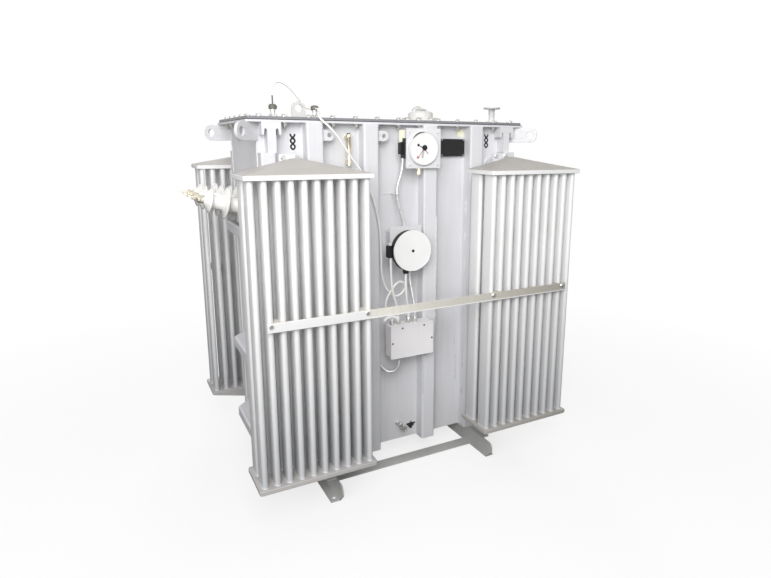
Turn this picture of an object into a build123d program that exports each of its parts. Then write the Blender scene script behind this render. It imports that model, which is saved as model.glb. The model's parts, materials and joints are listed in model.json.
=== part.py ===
from build123d import *
import os
from math import radians, tan

os.makedirs("parts", exist_ok=True)

# Oil-filled sealed distribution transformer, in millimetres.
# X runs along the long walls, the gauge side faces -Y, Z is up.
# The origin is on the floor, in the middle of the four holding-down holes of the skids.

# Tank
TANK_LENGTH = 1214.0
TANK_WIDTH = 472.0
TANK_BOTTOM_Z = 87.0
TANK_WALL = 5.0
TANK_FLOOR = 8.0

# Cover, its gasket and the rim flange that it is bolted to
COVER_TOP_Z = 1600.0
COVER_THICKNESS = 10.0
COVER_OVERHANG = 45.0
COVER_CORNER_RADIUS = 12.0
GASKET_THICKNESS = 3.0
GASKET_WIDTH = 40.0
GASKET_JOINT = 0.5
RIM_THICKNESS = 9.0
RIM_OVERHANG = 50.0
RIM_WELD_GAP = 1.0

# Pressed channels that stiffen the long walls
CHANNEL_DEPTH = 60.0
CHANNEL_WIDTH = 70.0
CHANNEL_SHEET = 4.0
CHANNEL_BEND_RADIUS = 9.0
INNER_CHANNEL_SHARE = 0.11862
OUTER_CHANNEL_SHARE = 0.3196
END_CHANNEL_WIDTH = 60.0

# Horizontal ribs of the end walls
RIB_HEIGHT_SHARES = [0.1363, 0.3594, 0.70625]
RIB_DEPTH = 60.0
RIB_WIDTH = 50.0
RIB_ROOT_INSET = 30.0
RIB_NOSE_INSET = 90.0

# Sling cleats at the ends of the long walls
CLEAT_INSET = 47.0
CLEAT_NECK_WIDTH = 34.0
CLEAT_DEPTH = 52.0
CLEAT_FOOT_DROP = 138.0
CLEAT_HEAD_WIDTH = 76.0
CLEAT_HEAD_HEIGHT = 24.0
CLEAT_HORN_WIDTH = 8.0
CLEAT_HORN_DROP = 24.0
CLEAT_HORN_SPREAD = 4.0
CLEAT_EDGE_RADIUS = 1.5

# Lifting lugs welded across the tank corners
LUG_REACH = 140.0
LUG_HEIGHT = 70.0
LUG_THICKNESS = 12.0
LUG_HOLE_RADIUS = 17.0
LUG_TOP_GAP = 0.3
LUG_ROOT = 30.0

# Small eye plates on the sides of the stiffening channels
EYE_PLATE_REACH = 52.0
EYE_PLATE_HEIGHT = 44.0
EYE_PLATE_THICKNESS = 8.0
EYE_PLATE_HOLE_RADIUS = 9.0
EYE_PLATE_DROP = 69.0
EYE_PLATE_SETBACK = 6.0

# Hanging radiators: flat oval tubes between two hipped headers
RADIATOR_INSET = 102.5
RADIATOR_LENGTH = 475.0
RADIATOR_DEPTH = 196.0
RADIATOR_STANDOFF = 166.0
HEADER_TOP_PLATE_DROP = 225.0
HEADER_BOTTOM_PLATE_Z = 230.0
HEADER_LIP = 18.0
HEADER_RISE = 50.0
HEADER_SHEET = 4.0
HEADER_CORNER_RADIUS = 10.0
HEADER_CROWN_LENGTH = 36.0
HEADER_CROWN_DEPTH = 8.0
TUBE_COUNT = 10
TUBE_ROWS = 2
TUBE_THICKNESS = 22.0
TUBE_DEPTH = 72.0
TUBE_WALL = 1.5
TUBE_MARGIN = 12.0

# Flanged necks between the tank and the headers
NECK_RADIUS = 30.0
NECK_INSET_Z = 33.0
NECK_WALL = 4.0
FLANGE_LENGTH = 80.0
FLANGE_HEIGHT = 102.0
FLANGE_THICKNESS = 8.0
FLANGE_STANDOFF = 78.0
FLANGE_CORNER_RADIUS = 8.0

# Angle braces that tie the radiators of one side together
BRACE_END_INSET = 53.0
BRACE_HEIGHT = 36.0
BRACE_SHELF = 18.0
BRACE_SHEET = 4.0
BRACE_HEIGHT_SHARE = 0.53625

# Skids: channels with the web inwards and a turned-up nose, and the strips that tie them
SKID_INSET = 229.0
SKID_FLANGE_WIDTH = 42.0
SKID_LENGTH = 916.0
SKID_WEB = 6.0
SKID_FLANGE = 7.0
SKID_TOP_FLANGE_SHORTENING = 40.0
SKID_NOSE_REACH = 44.0
SKID_NOSE_HEIGHT = 46.0
SKID_NOSE_RADIUS = 24.0
SKID_HOLE_RADIUS = 10.0
SKID_HOLE_END = 25.0
SKID_STRIP_WIDTH = 60.0
SKID_STRIP_THICKNESS = 6.0
SKID_STRIP_Y = 285.0

# Tilted bushings of the end walls
BUSHING_PITCH = 140.0
BUSHING_TILT = 13.0
BUSHING_DROP = 367.0
BUSHING_SOCKET_RADIUS = 60.0
BUSHING_SOCKET_LENGTH = 20.0
BUSHING_CLAMP_RADIUS = 66.0
BUSHING_CLAMP_THICKNESS = 12.0
BUSHING_SHED_RADII = [68.0, 66.0, 50.0]
BUSHING_SHED_PITCH = 62.0
BUSHING_SHED_ROOT = 26.0
BUSHING_SHED_EDGE = 8.0
BUSHING_FIRST_SHED = 23.0
BUSHING_CORE_RADIUS = 30.0
BUSHING_NECK_RADIUS = 22.0
BUSHING_NECK_LENGTH = 10.0
STUD_RADIUS = 9.0
STUD_LENGTH = 58.0
STUD_NUT_RADIUS = 16.0
STUD_NUT_LENGTH = 12.0
TERMINAL_LENGTH = 32.0
TERMINAL_WIDTH = 34.0
TERMINAL_THICKNESS = 8.0
TERMINAL_HOLE_RADIUS = 6.5
TERMINAL_HOLE_END = 11.0
TERMINAL_BITE = 8.0

# Cover fittings
COVER_EYE_INSET = 292.0
COVER_EYE_Y = 150.0
COVER_EYE_WIDTH = 65.0
COVER_EYE_HEIGHT = 90.0
COVER_EYE_THICKNESS = 12.0
COVER_EYE_HOLE_RADIUS = 18.0
POCKET_WALL_DISTANCE = 86.0
POCKET_INSETS = [92.0, 269.0]
POCKET_RADIUS = 10.0
POCKET_HEIGHT = 34.0
POCKET_NUT_RADIUS = 17.0
POCKET_NUT_HEIGHT = 12.0
KNOB_RADIUS = 17.0
KNOB_HEIGHT = 20.0
DOME_INSET = 357.0
DOME_FLANGE_RADIUS = 94.0
DOME_FLANGE_THICKNESS = 12.0
DOME_RADIUS = 62.0
DOME_HEIGHT = 54.0
DOME_EDGE_RADIUS = 18.0
DOME_GRIP_SPAN = 64.0
DOME_GRIP_RADIUS = 5.0
DOME_GRIP_HEIGHT = 14.0
VENT_INSET = 39.0
VENT_RADIUS = 15.0
VENT_HEIGHT = 68.0
VENT_CAP_RADIUS = 42.0
VENT_CAP_THICKNESS = 8.0
VENT_FOOT_RADIUS = 30.0
VENT_FOOT_THICKNESS = 10.0

# Pressure and level gauge on its square plate
UPPER_GAUGE_OFFSET = 52.0
UPPER_GAUGE_DROP = 120.0
UPPER_PLATE_SIZE = 170.0
UPPER_PLATE_SHEET = 6.0
UPPER_PLATE_FACE = 84.0
UPPER_PLATE_RADIUS = 4.0
UPPER_LEG_OFFSET = 32.0
UPPER_LEG_WIDTH = 56.0
UPPER_DIAL_RADIUS = 73.0
UPPER_DIAL_DEPTH = 13.0
UPPER_DIAL_EDGE = 3.0
UPPER_DIAL_OFFSET = 4.0
UPPER_TERMINAL_LENGTH = 30.0
UPPER_TERMINAL_HEIGHT = 82.0
UPPER_TERMINAL_DEPTH = 34.0
UPPER_TERMINAL_BITE = 20.0
UPPER_UNION_RADIUS = 14.0
UPPER_UNION_HEIGHT = 36.0
UPPER_UNION_OFFSET = 20.0

# Thermometer gauge on its bracket
LOWER_GAUGE_X = 15.0
LOWER_GAUGE_HEIGHT_SHARE = 0.65125
LOWER_DIAL_RADIUS = 90.5
LOWER_DIAL_DEPTH = 12.0
LOWER_DIAL_EDGE = 3.0
LOWER_DIAL_FACE = 136.0
LOWER_BODY_RADIUS = 88.0
LOWER_PLATE_FACE = 86.0
LOWER_PLATE_SHEET = 6.0
LOWER_PLATE_LENGTH = 156.0
LOWER_PLATE_HEIGHT = 156.0
LOWER_PLATE_RADIUS = 6.0
LOWER_PLATE_X = 5.0
LOWER_PLATE_RISE = 25.0
LOWER_LEG_SPACING = 110.0
LOWER_TERMINAL_LENGTH = 24.0
LOWER_TERMINAL_HEIGHT = 66.0
LOWER_TERMINAL_DEPTH = 30.0
LOWER_TERMINAL_BITE = 14.0
LOWER_PLUG_RADIUS = 10.0
LOWER_PLUG_LENGTH = 18.0
LOWER_PLUG_X = -3.0

# Junction box under the gauges
BOX_X = 21.0
BOX_HEIGHT_SHARE = 0.39375
BOX_LENGTH = 212.0
BOX_HEIGHT = 152.0
BOX_DEPTH = 60.0
BOX_BACK = 64.0
BOX_SHEET = 2.5
BOX_LID = 5.0
BOX_LID_OVERHANG = 2.0
BOX_RADIUS = 6.0
BOX_LEG_WIDTH = 6.0
BOX_LEG_HEIGHT = 110.0
BOX_LEG_SPACING = 150.0
BOX_LEG_GAP = 13.0
GLAND_RADIUS = 9.0
GLAND_NUT_RADIUS = 12.0
GLAND_LENGTH = 18.0
GLAND_NUT_LENGTH = 8.0
GLAND_DEPTH = 94.0
TOP_GLAND_OFFSETS = [-89.0, -57.0, -6.0, 27.0]
BOTTOM_GLAND_OFFSETS = [-53.0, 45.0, 83.0]

# Rating plate on two spacers
RATING_PLATE_GAP = 6.0
RATING_PLATE_DROP = 117.0
RATING_PLATE_LENGTH = 125.0
RATING_PLATE_HEIGHT = 78.0
RATING_PLATE_SHEET = 3.0
RATING_SPACER_WIDTH = 12.0
RATING_SPACER_DEPTH = 12.0
RATING_SPACER_INSET = 10.0

# Oil level tube
LEVEL_CHANNEL_DISTANCE = 96.0
LEVEL_DEPTH = 44.0
LEVEL_RADIUS = 10.0
LEVEL_BOTTOM_DROP = 193.0
LEVEL_TOP_DROP = 63.0
LEVEL_ARM_RADIUS = 7.0
LEVEL_ARM_INSET = 14.0

# Drain valve and earthing boss at the foot of the wall
DRAIN_X = 6.0
DRAIN_Z = 172.0
DRAIN_RADIUS = 11.0
DRAIN_LENGTH = 44.0
DRAIN_FLANGE_RADIUS = 18.0
DRAIN_FLANGE_THICKNESS = 8.0
DRAIN_SPOUT_RADIUS = 8.0
DRAIN_SPOUT_LENGTH = 34.0
EARTH_X = 34.0
EARTH_Z = 138.0
EARTH_BOSS_RADIUS = 14.0
EARTH_BOSS_LENGTH = 14.0

# Leads that the clips and housings hold all the way
LEAD_RADIUS = 3.5
HOSE_RADIUS = 5.0
CAPILLARY_RADIUS = 2.5
BEND_SHARE = 0.45
LEAD_STRAIGHT = 24.0
LEAD_SEAT_GAP = 0.3

# Core, windings and oil, as one block that fills the tank
FILLING_GAP = 0.5
FILLING_TOP_GAP = 12.0

# One overrun serves all cuts
OVERRUN = 2.0

# Sizes that follow from the ones above
WALL_X = TANK_LENGTH / 2
WALL_Y = TANK_WIDTH / 2
INNER_CHANNEL_X = INNER_CHANNEL_SHARE * TANK_LENGTH
OUTER_CHANNEL_X = OUTER_CHANNEL_SHARE * TANK_LENGTH
CLEAT_X = WALL_X - CLEAT_INSET
CLEAT_FOOT_Z = COVER_TOP_Z - CLEAT_FOOT_DROP
EYE_PLATE_Z = COVER_TOP_Z - EYE_PLATE_DROP
COVER_BOTTOM_Z = COVER_TOP_Z - COVER_THICKNESS
RIM_TOP_Z = COVER_BOTTOM_Z - GASKET_THICKNESS
RIM_BOTTOM_Z = RIM_TOP_Z - RIM_THICKNESS
CHANNEL_FACE_Y = WALL_Y + CHANNEL_DEPTH
RADIATOR_X = WALL_X - RADIATOR_INSET
RADIATOR_BACK_Y = WALL_Y + RADIATOR_STANDOFF
RADIATOR_FRONT_Y = RADIATOR_BACK_Y + RADIATOR_DEPTH
RADIATOR_MID_Y = (RADIATOR_BACK_Y + RADIATOR_FRONT_Y) / 2
HEADER_TOP_PLATE_Z = COVER_TOP_Z - HEADER_TOP_PLATE_DROP
TUBE_PITCH = (RADIATOR_LENGTH - 2 * TUBE_MARGIN - TUBE_THICKNESS) / (TUBE_COUNT - 1)
TUBE_ROW_PITCH = RADIATOR_DEPTH - 2 * TUBE_MARGIN - TUBE_DEPTH
TUBE_LENGTH = HEADER_TOP_PLATE_Z - HEADER_BOTTOM_PLATE_Z
TUBE_FRONT_Y = RADIATOR_FRONT_Y - TUBE_MARGIN
UPPER_NECK_Z = HEADER_TOP_PLATE_Z + NECK_INSET_Z
LOWER_NECK_Z = HEADER_BOTTOM_PLATE_Z - NECK_INSET_Z
BRACE_Z = BRACE_HEIGHT_SHARE * COVER_TOP_Z
BRACE_END_X = RADIATOR_X + RADIATOR_LENGTH / 2 - BRACE_END_INSET
SKID_WEB_X = WALL_X - SKID_INSET
BUSHING_WALL_Z = COVER_TOP_Z - BUSHING_DROP
POCKET_Y = POCKET_WALL_DISTANCE - WALL_Y
POCKET_XS = [inset - WALL_X for inset in POCKET_INSETS]
COVER_EYE_X = WALL_X - COVER_EYE_INSET
DOME_X = WALL_X - DOME_INSET
VENT_X = WALL_X - VENT_INSET
UPPER_GAUGE_X = INNER_CHANNEL_X - UPPER_GAUGE_OFFSET
UPPER_GAUGE_Z = COVER_TOP_Z - UPPER_GAUGE_DROP
LOWER_GAUGE_Z = LOWER_GAUGE_HEIGHT_SHARE * COVER_TOP_Z
BOX_Z = BOX_HEIGHT_SHARE * COVER_TOP_Z
TOP_GLAND_XS = [BOX_X + offset for offset in TOP_GLAND_OFFSETS]
BOTTOM_GLAND_XS = [BOX_X + offset for offset in BOTTOM_GLAND_OFFSETS]
RATING_PLATE_X = OUTER_CHANNEL_X - CHANNEL_WIDTH / 2 - RATING_PLATE_GAP - RATING_PLATE_LENGTH / 2
RATING_PLATE_Z = COVER_TOP_Z - RATING_PLATE_DROP
LEVEL_X = -INNER_CHANNEL_X - LEVEL_CHANNEL_DISTANCE


def block(x_range, y_range, z_range):
    """Return a box between two limits along each axis."""
    sizes = [high - low for low, high in (x_range, y_range, z_range)]
    middles = [(low + high) / 2 for low, high in (x_range, y_range, z_range)]
    return Pos(*middles) * Box(*sizes)


def rod(start, end, radius):
    """Return a round bar between two points."""
    line = Vector(*end) - Vector(*start)
    base = Plane(origin=start, z_dir=line)
    return base * Cylinder(radius, line.length, align=(Align.CENTER, Align.CENTER, Align.MIN))


def hexagon_bar(start, end, radius):
    """Return a six-sided bar between two points; radius is to its corners."""
    line = Vector(*end) - Vector(*start)
    base = Plane(origin=start, z_dir=line)
    return extrude(base * RegularPolygon(radius, 6), amount=line.length, dir=line.normalized())


def upright_plate(outline, front_y, thickness):
    """Extrude an outline that is drawn in XZ from its front face backwards."""
    face = Plane(origin=(0, front_y, 0), x_dir=(1, 0, 0), z_dir=(0, -1, 0)) * outline
    return extrude(face, amount=-thickness)


def in_all_quarters(shape):
    """Return a shape of the front right quarter with its three mirror images."""
    right = [shape, mirror(shape, about=Plane.XZ)]
    return right + [mirror(one, about=Plane.YZ) for one in right]


def save(name, *solids):
    """Write the solids of one named piece."""
    export_step(Compound(children=list(solids)), f"parts/{name}.step")


# Tank walls, floor and rim

def make_tank():
    """Weld the four walls and the floor into an open-topped tank, and fill it."""
    z_range = (TANK_BOTTOM_Z, RIM_TOP_Z)
    inside_y = WALL_Y - TANK_WALL
    inside_x = WALL_X - TANK_WALL
    front = block((-WALL_X, WALL_X), (-WALL_Y, -inside_y), z_range)
    left = block((-WALL_X, -inside_x), (-inside_y, inside_y), z_range)
    save("tank_wall_front", front)
    save("tank_wall_rear", mirror(front, about=Plane.XZ))
    save("tank_wall_left", left)
    save("tank_wall_right", mirror(left, about=Plane.YZ))
    floor_z = (TANK_BOTTOM_Z, TANK_BOTTOM_Z + TANK_FLOOR)
    save("tank_floor", block((-inside_x, inside_x), (-inside_y, inside_y), floor_z))
    fill_x = inside_x - FILLING_GAP
    fill_y = inside_y - FILLING_GAP
    fill_z = (TANK_BOTTOM_Z + TANK_FLOOR, RIM_BOTTOM_Z - FILLING_TOP_GAP)
    save("oil_filled_core", block((-fill_x, fill_x), (-fill_y, fill_y), fill_z))


def frame_bars(inner_x, inner_y, outer_x, outer_y, z_range, joint):
    """Return the four flat bars of a frame, butted with a small joint at the corners."""
    long_bar = block((-outer_x, outer_x), (inner_y, outer_y), z_range)
    short_bar = block((inner_x, outer_x), (joint - inner_y, inner_y - joint), z_range)
    return [
        long_bar,
        mirror(long_bar, about=Plane.XZ),
        short_bar,
        mirror(short_bar, about=Plane.YZ),
    ]


def make_cover():
    """Lay the gasket on the rim flange and the cover plate on the gasket."""
    rim_x = WALL_X + RIM_OVERHANG
    rim_y = WALL_Y + RIM_OVERHANG
    rim = frame_bars(WALL_X, WALL_Y, rim_x, rim_y, (RIM_BOTTOM_Z, RIM_TOP_Z), RIM_WELD_GAP)
    save("rim_flange", *rim)
    edge_x = WALL_X + COVER_OVERHANG
    edge_y = WALL_Y + COVER_OVERHANG
    inner_x = edge_x - GASKET_WIDTH
    inner_y = edge_y - GASKET_WIDTH
    gasket = frame_bars(inner_x, inner_y, edge_x, edge_y, (RIM_TOP_Z, COVER_BOTTOM_Z), GASKET_JOINT)
    save("cover_gasket", *gasket)
    outline = RectangleRounded(2 * edge_x, 2 * edge_y, COVER_CORNER_RADIUS)
    save("cover_plate", extrude(Pos(0, 0, COVER_BOTTOM_Z) * outline, amount=COVER_THICKNESS))


# Stiffening channels and ribs

def pressed_channel(width, depth, length):
    """Return a closed-ended pressed channel along Z; its open back lies on the XZ plane."""
    outline = Pos(0, -depth / 2) * Rectangle(width, depth)
    front_corners = outline.vertices().sort_by(Axis.Y)[:2]
    outer = extrude(fillet(front_corners, CHANNEL_BEND_RADIUS), amount=length)
    hollow_x = width / 2 - CHANNEL_SHEET
    hollow_z = (CHANNEL_SHEET, length - CHANNEL_SHEET)
    return outer - block((-hollow_x, hollow_x), (CHANNEL_SHEET - depth, OVERRUN), hollow_z)


def rib_plan(shrink):
    """Return the plan of an end rib, its ends cut on the slant, shrunk by the sheet for the hollow."""
    root = WALL_Y - RIB_ROOT_INSET - shrink
    nose = WALL_Y - RIB_NOSE_INSET - shrink
    return make_face(
        Polyline((0, -root), (RIB_DEPTH - shrink, -nose), (RIB_DEPTH - shrink, nose), (0, root), close=True)
    )


def end_rib():
    """Return one hollow end rib; its open back lies on the YZ plane."""
    outer = extrude(rib_plan(0), amount=RIB_WIDTH)
    long_edges = outer.edges().filter_by(Axis.Y).group_by(Axis.X)[-1]
    outer = fillet(long_edges, CHANNEL_BEND_RADIUS)
    hollow = Pos(0, 0, CHANNEL_SHEET) * extrude(rib_plan(CHANNEL_SHEET), amount=RIB_WIDTH - 2 * CHANNEL_SHEET)
    return Pos(0, 0, -RIB_WIDTH / 2) * (outer - hollow)


def make_stiffeners():
    """Stand six channels against each long wall and lay three ribs across each end wall."""
    full_height = RIM_BOTTOM_Z - TANK_BOTTOM_Z
    end_height = CLEAT_FOOT_Z - TANK_BOTTOM_Z
    end_x = WALL_X - END_CHANNEL_WIDTH / 2
    tall = pressed_channel(CHANNEL_WIDTH, CHANNEL_DEPTH, full_height)
    short = pressed_channel(END_CHANNEL_WIDTH, CHANNEL_DEPTH, end_height)
    front = [
        Pos(side * x, -WALL_Y, TANK_BOTTOM_Z) * channel
        for side in (-1, 1)
        for x, channel in ((INNER_CHANNEL_X, tall), (OUTER_CHANNEL_X, tall), (end_x, short))
    ]
    save("stiffeners_front", *front)
    save("stiffeners_rear", *[mirror(one, about=Plane.XZ) for one in front])

    ribs = [Pos(WALL_X, 0, share * COVER_TOP_Z) * end_rib() for share in RIB_HEIGHT_SHARES]
    save("end_ribs", *ribs, *[mirror(one, about=Plane.YZ) for one in ribs])


# Lifting points

def make_lifting_points():
    """Add the sling cleats, the corner lugs and the small eye plates."""
    head_bottom = RIM_BOTTOM_Z - CLEAT_HEAD_HEIGHT
    neck_x = CLEAT_NECK_WIDTH / 2
    head_x = CLEAT_HEAD_WIDTH / 2
    horn_z = head_bottom - CLEAT_HORN_DROP
    half = [
        (0, CLEAT_FOOT_Z),
        (neck_x, CLEAT_FOOT_Z),
        (neck_x, head_bottom - CLEAT_HORN_SPREAD),
        (neck_x + CLEAT_HORN_SPREAD, head_bottom),
        (head_x - CLEAT_HORN_WIDTH - CLEAT_HORN_SPREAD, head_bottom),
        (head_x - CLEAT_HORN_WIDTH, horn_z),
        (head_x, horn_z),
        (head_x, RIM_BOTTOM_Z),
        (0, RIM_BOTTOM_Z),
    ]
    half_outline = make_face(Polyline(*half, close=True))
    outline = half_outline + mirror(half_outline, about=Plane.YZ)
    outline = fillet(outline.vertices(), CLEAT_EDGE_RADIUS)
    cleat = upright_plate(outline, -WALL_Y - CLEAT_DEPTH, CLEAT_DEPTH)
    save("sling_cleats", *in_all_quarters(Pos(CLEAT_X, 0, 0) * cleat))

    lug_top = RIM_BOTTOM_Z - LUG_TOP_GAP
    end_radius = LUG_HEIGHT / 2
    lug_mid = lug_top - end_radius
    eye_x = LUG_REACH - end_radius
    half_thickness = LUG_THICKNESS / 2
    bar = block((-LUG_ROOT, eye_x), (-half_thickness, half_thickness), (lug_top - LUG_HEIGHT, lug_top))
    eye_ends = [(eye_x, side * LUG_THICKNESS / 2, lug_mid) for side in (-1, 1)]
    lug = bar + rod(*eye_ends, end_radius)
    hole_ends = [(eye_x, side * (LUG_THICKNESS / 2 + OVERRUN), lug_mid) for side in (-1, 1)]
    lug = lug - rod(*hole_ends, LUG_HOLE_RADIUS)
    tank = block((-WALL_X, WALL_X), (-WALL_Y, WALL_Y), (TANK_BOTTOM_Z, RIM_TOP_Z))
    corner_lug = Pos(WALL_X, -WALL_Y, 0) * Rot(0, 0, -45) * lug - tank
    save("lifting_lugs", *in_all_quarters(corner_lug))

    eye_mid = EYE_PLATE_REACH - EYE_PLATE_HEIGHT / 2
    outline = Pos(eye_mid / 2, 0) * Rectangle(eye_mid, EYE_PLATE_HEIGHT)
    outline = outline + Pos(eye_mid, 0) * Circle(EYE_PLATE_HEIGHT / 2)
    outline = outline - Pos(eye_mid, 0) * Circle(EYE_PLATE_HOLE_RADIUS)
    plate_y = EYE_PLATE_SETBACK + CHANNEL_BEND_RADIUS - CHANNEL_FACE_Y
    plates = []
    for channel_x in (-OUTER_CHANNEL_X, -INNER_CHANNEL_X):
        root_x = channel_x + CHANNEL_WIDTH / 2
        plates.append(upright_plate(Pos(root_x, EYE_PLATE_Z) * outline, plate_y, EYE_PLATE_THICKNESS))
    save("eye_plates", *plates, *[Rot(0, 0, 180) * one for one in plates])


# Radiators

def header(plate_z, rise_sign):
    """Return one hipped header; its ridge meets the back edge above the neck."""
    lip = HEADER_LIP
    outline = RectangleRounded(RADIATOR_LENGTH, RADIATOR_DEPTH, HEADER_CORNER_RADIUS)
    crown_y = (RADIATOR_DEPTH - HEADER_CROWN_DEPTH) / 2
    crown = Pos(0, crown_y) * Rectangle(HEADER_CROWN_LENGTH, HEADER_CROWN_DEPTH)
    body = extrude(outline, amount=lip)
    roof = loft([Pos(0, 0, lip) * outline, Pos(0, 0, lip + HEADER_RISE) * crown])
    inner_length = RADIATOR_LENGTH - 2 * HEADER_SHEET
    inner_depth = RADIATOR_DEPTH - 2 * HEADER_SHEET
    inner_outline = RectangleRounded(inner_length, inner_depth, HEADER_CORNER_RADIUS - HEADER_SHEET)
    inside = extrude(Pos(0, 0, HEADER_SHEET) * inner_outline, amount=lip - HEADER_SHEET)
    whole = body + roof - inside
    if rise_sign < 0:
        whole = mirror(whole, about=Plane.XY)
    return Pos(0, -RADIATOR_MID_Y, plate_z) * whole


def tube_bank():
    """Return the oval tubes of one radiator as separate closed-walled tubes."""
    outer = SlotOverall(TUBE_DEPTH, TUBE_THICKNESS)
    inner = SlotOverall(TUBE_DEPTH - 2 * TUBE_WALL, TUBE_THICKNESS - 2 * TUBE_WALL)
    tube = extrude(Rot(0, 0, 90) * (outer - inner), amount=TUBE_LENGTH)
    first_x = -TUBE_PITCH * (TUBE_COUNT - 1) / 2
    first_y = -RADIATOR_MID_Y - TUBE_ROW_PITCH * (TUBE_ROWS - 1) / 2
    return [
        Pos(first_x + column * TUBE_PITCH, first_y + row * TUBE_ROW_PITCH, HEADER_BOTTOM_PLATE_Z) * tube
        for row in range(TUBE_ROWS)
        for column in range(TUBE_COUNT)
    ]


def neck(z):
    """Return the pipe from the tank wall to a header, with its pair of bolted flanges."""
    pipe_ends = [(RADIATOR_X, -WALL_Y, z), (RADIATOR_X, -RADIATOR_BACK_Y, z)]
    flange_outline = Pos(RADIATOR_X, z) * RectangleRounded(FLANGE_LENGTH, FLANGE_HEIGHT, FLANGE_CORNER_RADIUS)
    flange = upright_plate(flange_outline, -WALL_Y - FLANGE_STANDOFF - FLANGE_THICKNESS, 2 * FLANGE_THICKNESS)
    bore_ends = [(RADIATOR_X, OVERRUN - WALL_Y, z), (RADIATOR_X, -RADIATOR_BACK_Y - OVERRUN, z)]
    return rod(*pipe_ends, NECK_RADIUS) + flange - rod(*bore_ends, NECK_RADIUS - NECK_WALL)


def make_radiators():
    """Hang a radiator in front of each quarter of the long walls."""
    headers = [header(HEADER_TOP_PLATE_Z, 1), header(HEADER_BOTTOM_PLATE_Z, -1)]
    tubes = tube_bank()
    for column, x in (("left", -RADIATOR_X), ("right", RADIATOR_X)):
        front_headers = [Pos(x, 0, 0) * one for one in headers]
        front_tubes = [Pos(x, 0, 0) * one for one in tubes]
        save(f"radiator_front_{column}_headers", *front_headers)
        save(f"radiator_front_{column}_tubes", *front_tubes)
        save(f"radiator_rear_{column}_headers", *[mirror(one, about=Plane.XZ) for one in front_headers])
        save(f"radiator_rear_{column}_tubes", *[mirror(one, about=Plane.XZ) for one in front_tubes])
    necks = in_all_quarters(neck(UPPER_NECK_Z)) + in_all_quarters(neck(LOWER_NECK_Z))
    save("radiator_necks", *necks)


def make_braces():
    """Lay an angle across the outer tubes of each side."""
    x_range = (-BRACE_END_X, BRACE_END_X)
    back_y = -TUBE_FRONT_Y
    face_y = back_y - BRACE_SHELF
    low_z = BRACE_Z - BRACE_HEIGHT / 2
    leg = block(x_range, (face_y, face_y + BRACE_SHEET), (low_z, low_z + BRACE_HEIGHT))
    shelf = block(x_range, (face_y, back_y), (low_z, low_z + BRACE_SHEET))
    front = leg + shelf
    save("radiator_braces", front, mirror(front, about=Plane.XZ))


# Skids

def make_skids():
    """Set the tank on two channels that two flat strips tie together."""
    half_length = SKID_LENGTH / 2
    top_y = half_length - SKID_TOP_FLANGE_SHORTENING
    nose_y = half_length + SKID_NOSE_REACH
    web_outline = make_face(
        Polyline(
            (-half_length, 0),
            (half_length, 0),
            (nose_y, SKID_NOSE_HEIGHT),
            (nose_y, TANK_BOTTOM_Z),
            (-nose_y, TANK_BOTTOM_Z),
            (-nose_y, SKID_NOSE_HEIGHT),
            close=True,
        )
    )
    nose_corners = web_outline.vertices().group_by(Axis.X)
    web_outline = fillet(nose_corners[0] + nose_corners[-1], SKID_NOSE_RADIUS)
    across = Plane(origin=(SKID_WEB_X, 0, 0), x_dir=(0, 1, 0), z_dir=(1, 0, 0))
    web = extrude(across * web_outline, amount=SKID_WEB)
    outer_x = SKID_WEB_X + SKID_FLANGE_WIDTH
    foot = block((SKID_WEB_X, outer_x), (-half_length, half_length), (0, SKID_FLANGE))
    top = block((SKID_WEB_X, outer_x), (-top_y, top_y), (TANK_BOTTOM_Z - SKID_FLANGE, TANK_BOTTOM_Z))
    skid = web + foot + top
    hole_x = SKID_WEB_X + SKID_FLANGE_WIDTH / 2
    for side in (-1, 1):
        hole_y = side * (half_length - SKID_HOLE_END)
        hole_ends = [(hole_x, hole_y, -OVERRUN), (hole_x, hole_y, SKID_FLANGE + OVERRUN)]
        skid = skid - rod(*hole_ends, SKID_HOLE_RADIUS)
    save("skid_right", skid)
    save("skid_left", mirror(skid, about=Plane.YZ))
    strip_y = (-SKID_STRIP_Y - SKID_STRIP_WIDTH / 2, -SKID_STRIP_Y + SKID_STRIP_WIDTH / 2)
    strip = block((-SKID_WEB_X, SKID_WEB_X), strip_y, (0, SKID_STRIP_THICKNESS))
    save("skid_strips", strip, mirror(strip, about=Plane.XZ))


# Bushings

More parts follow.
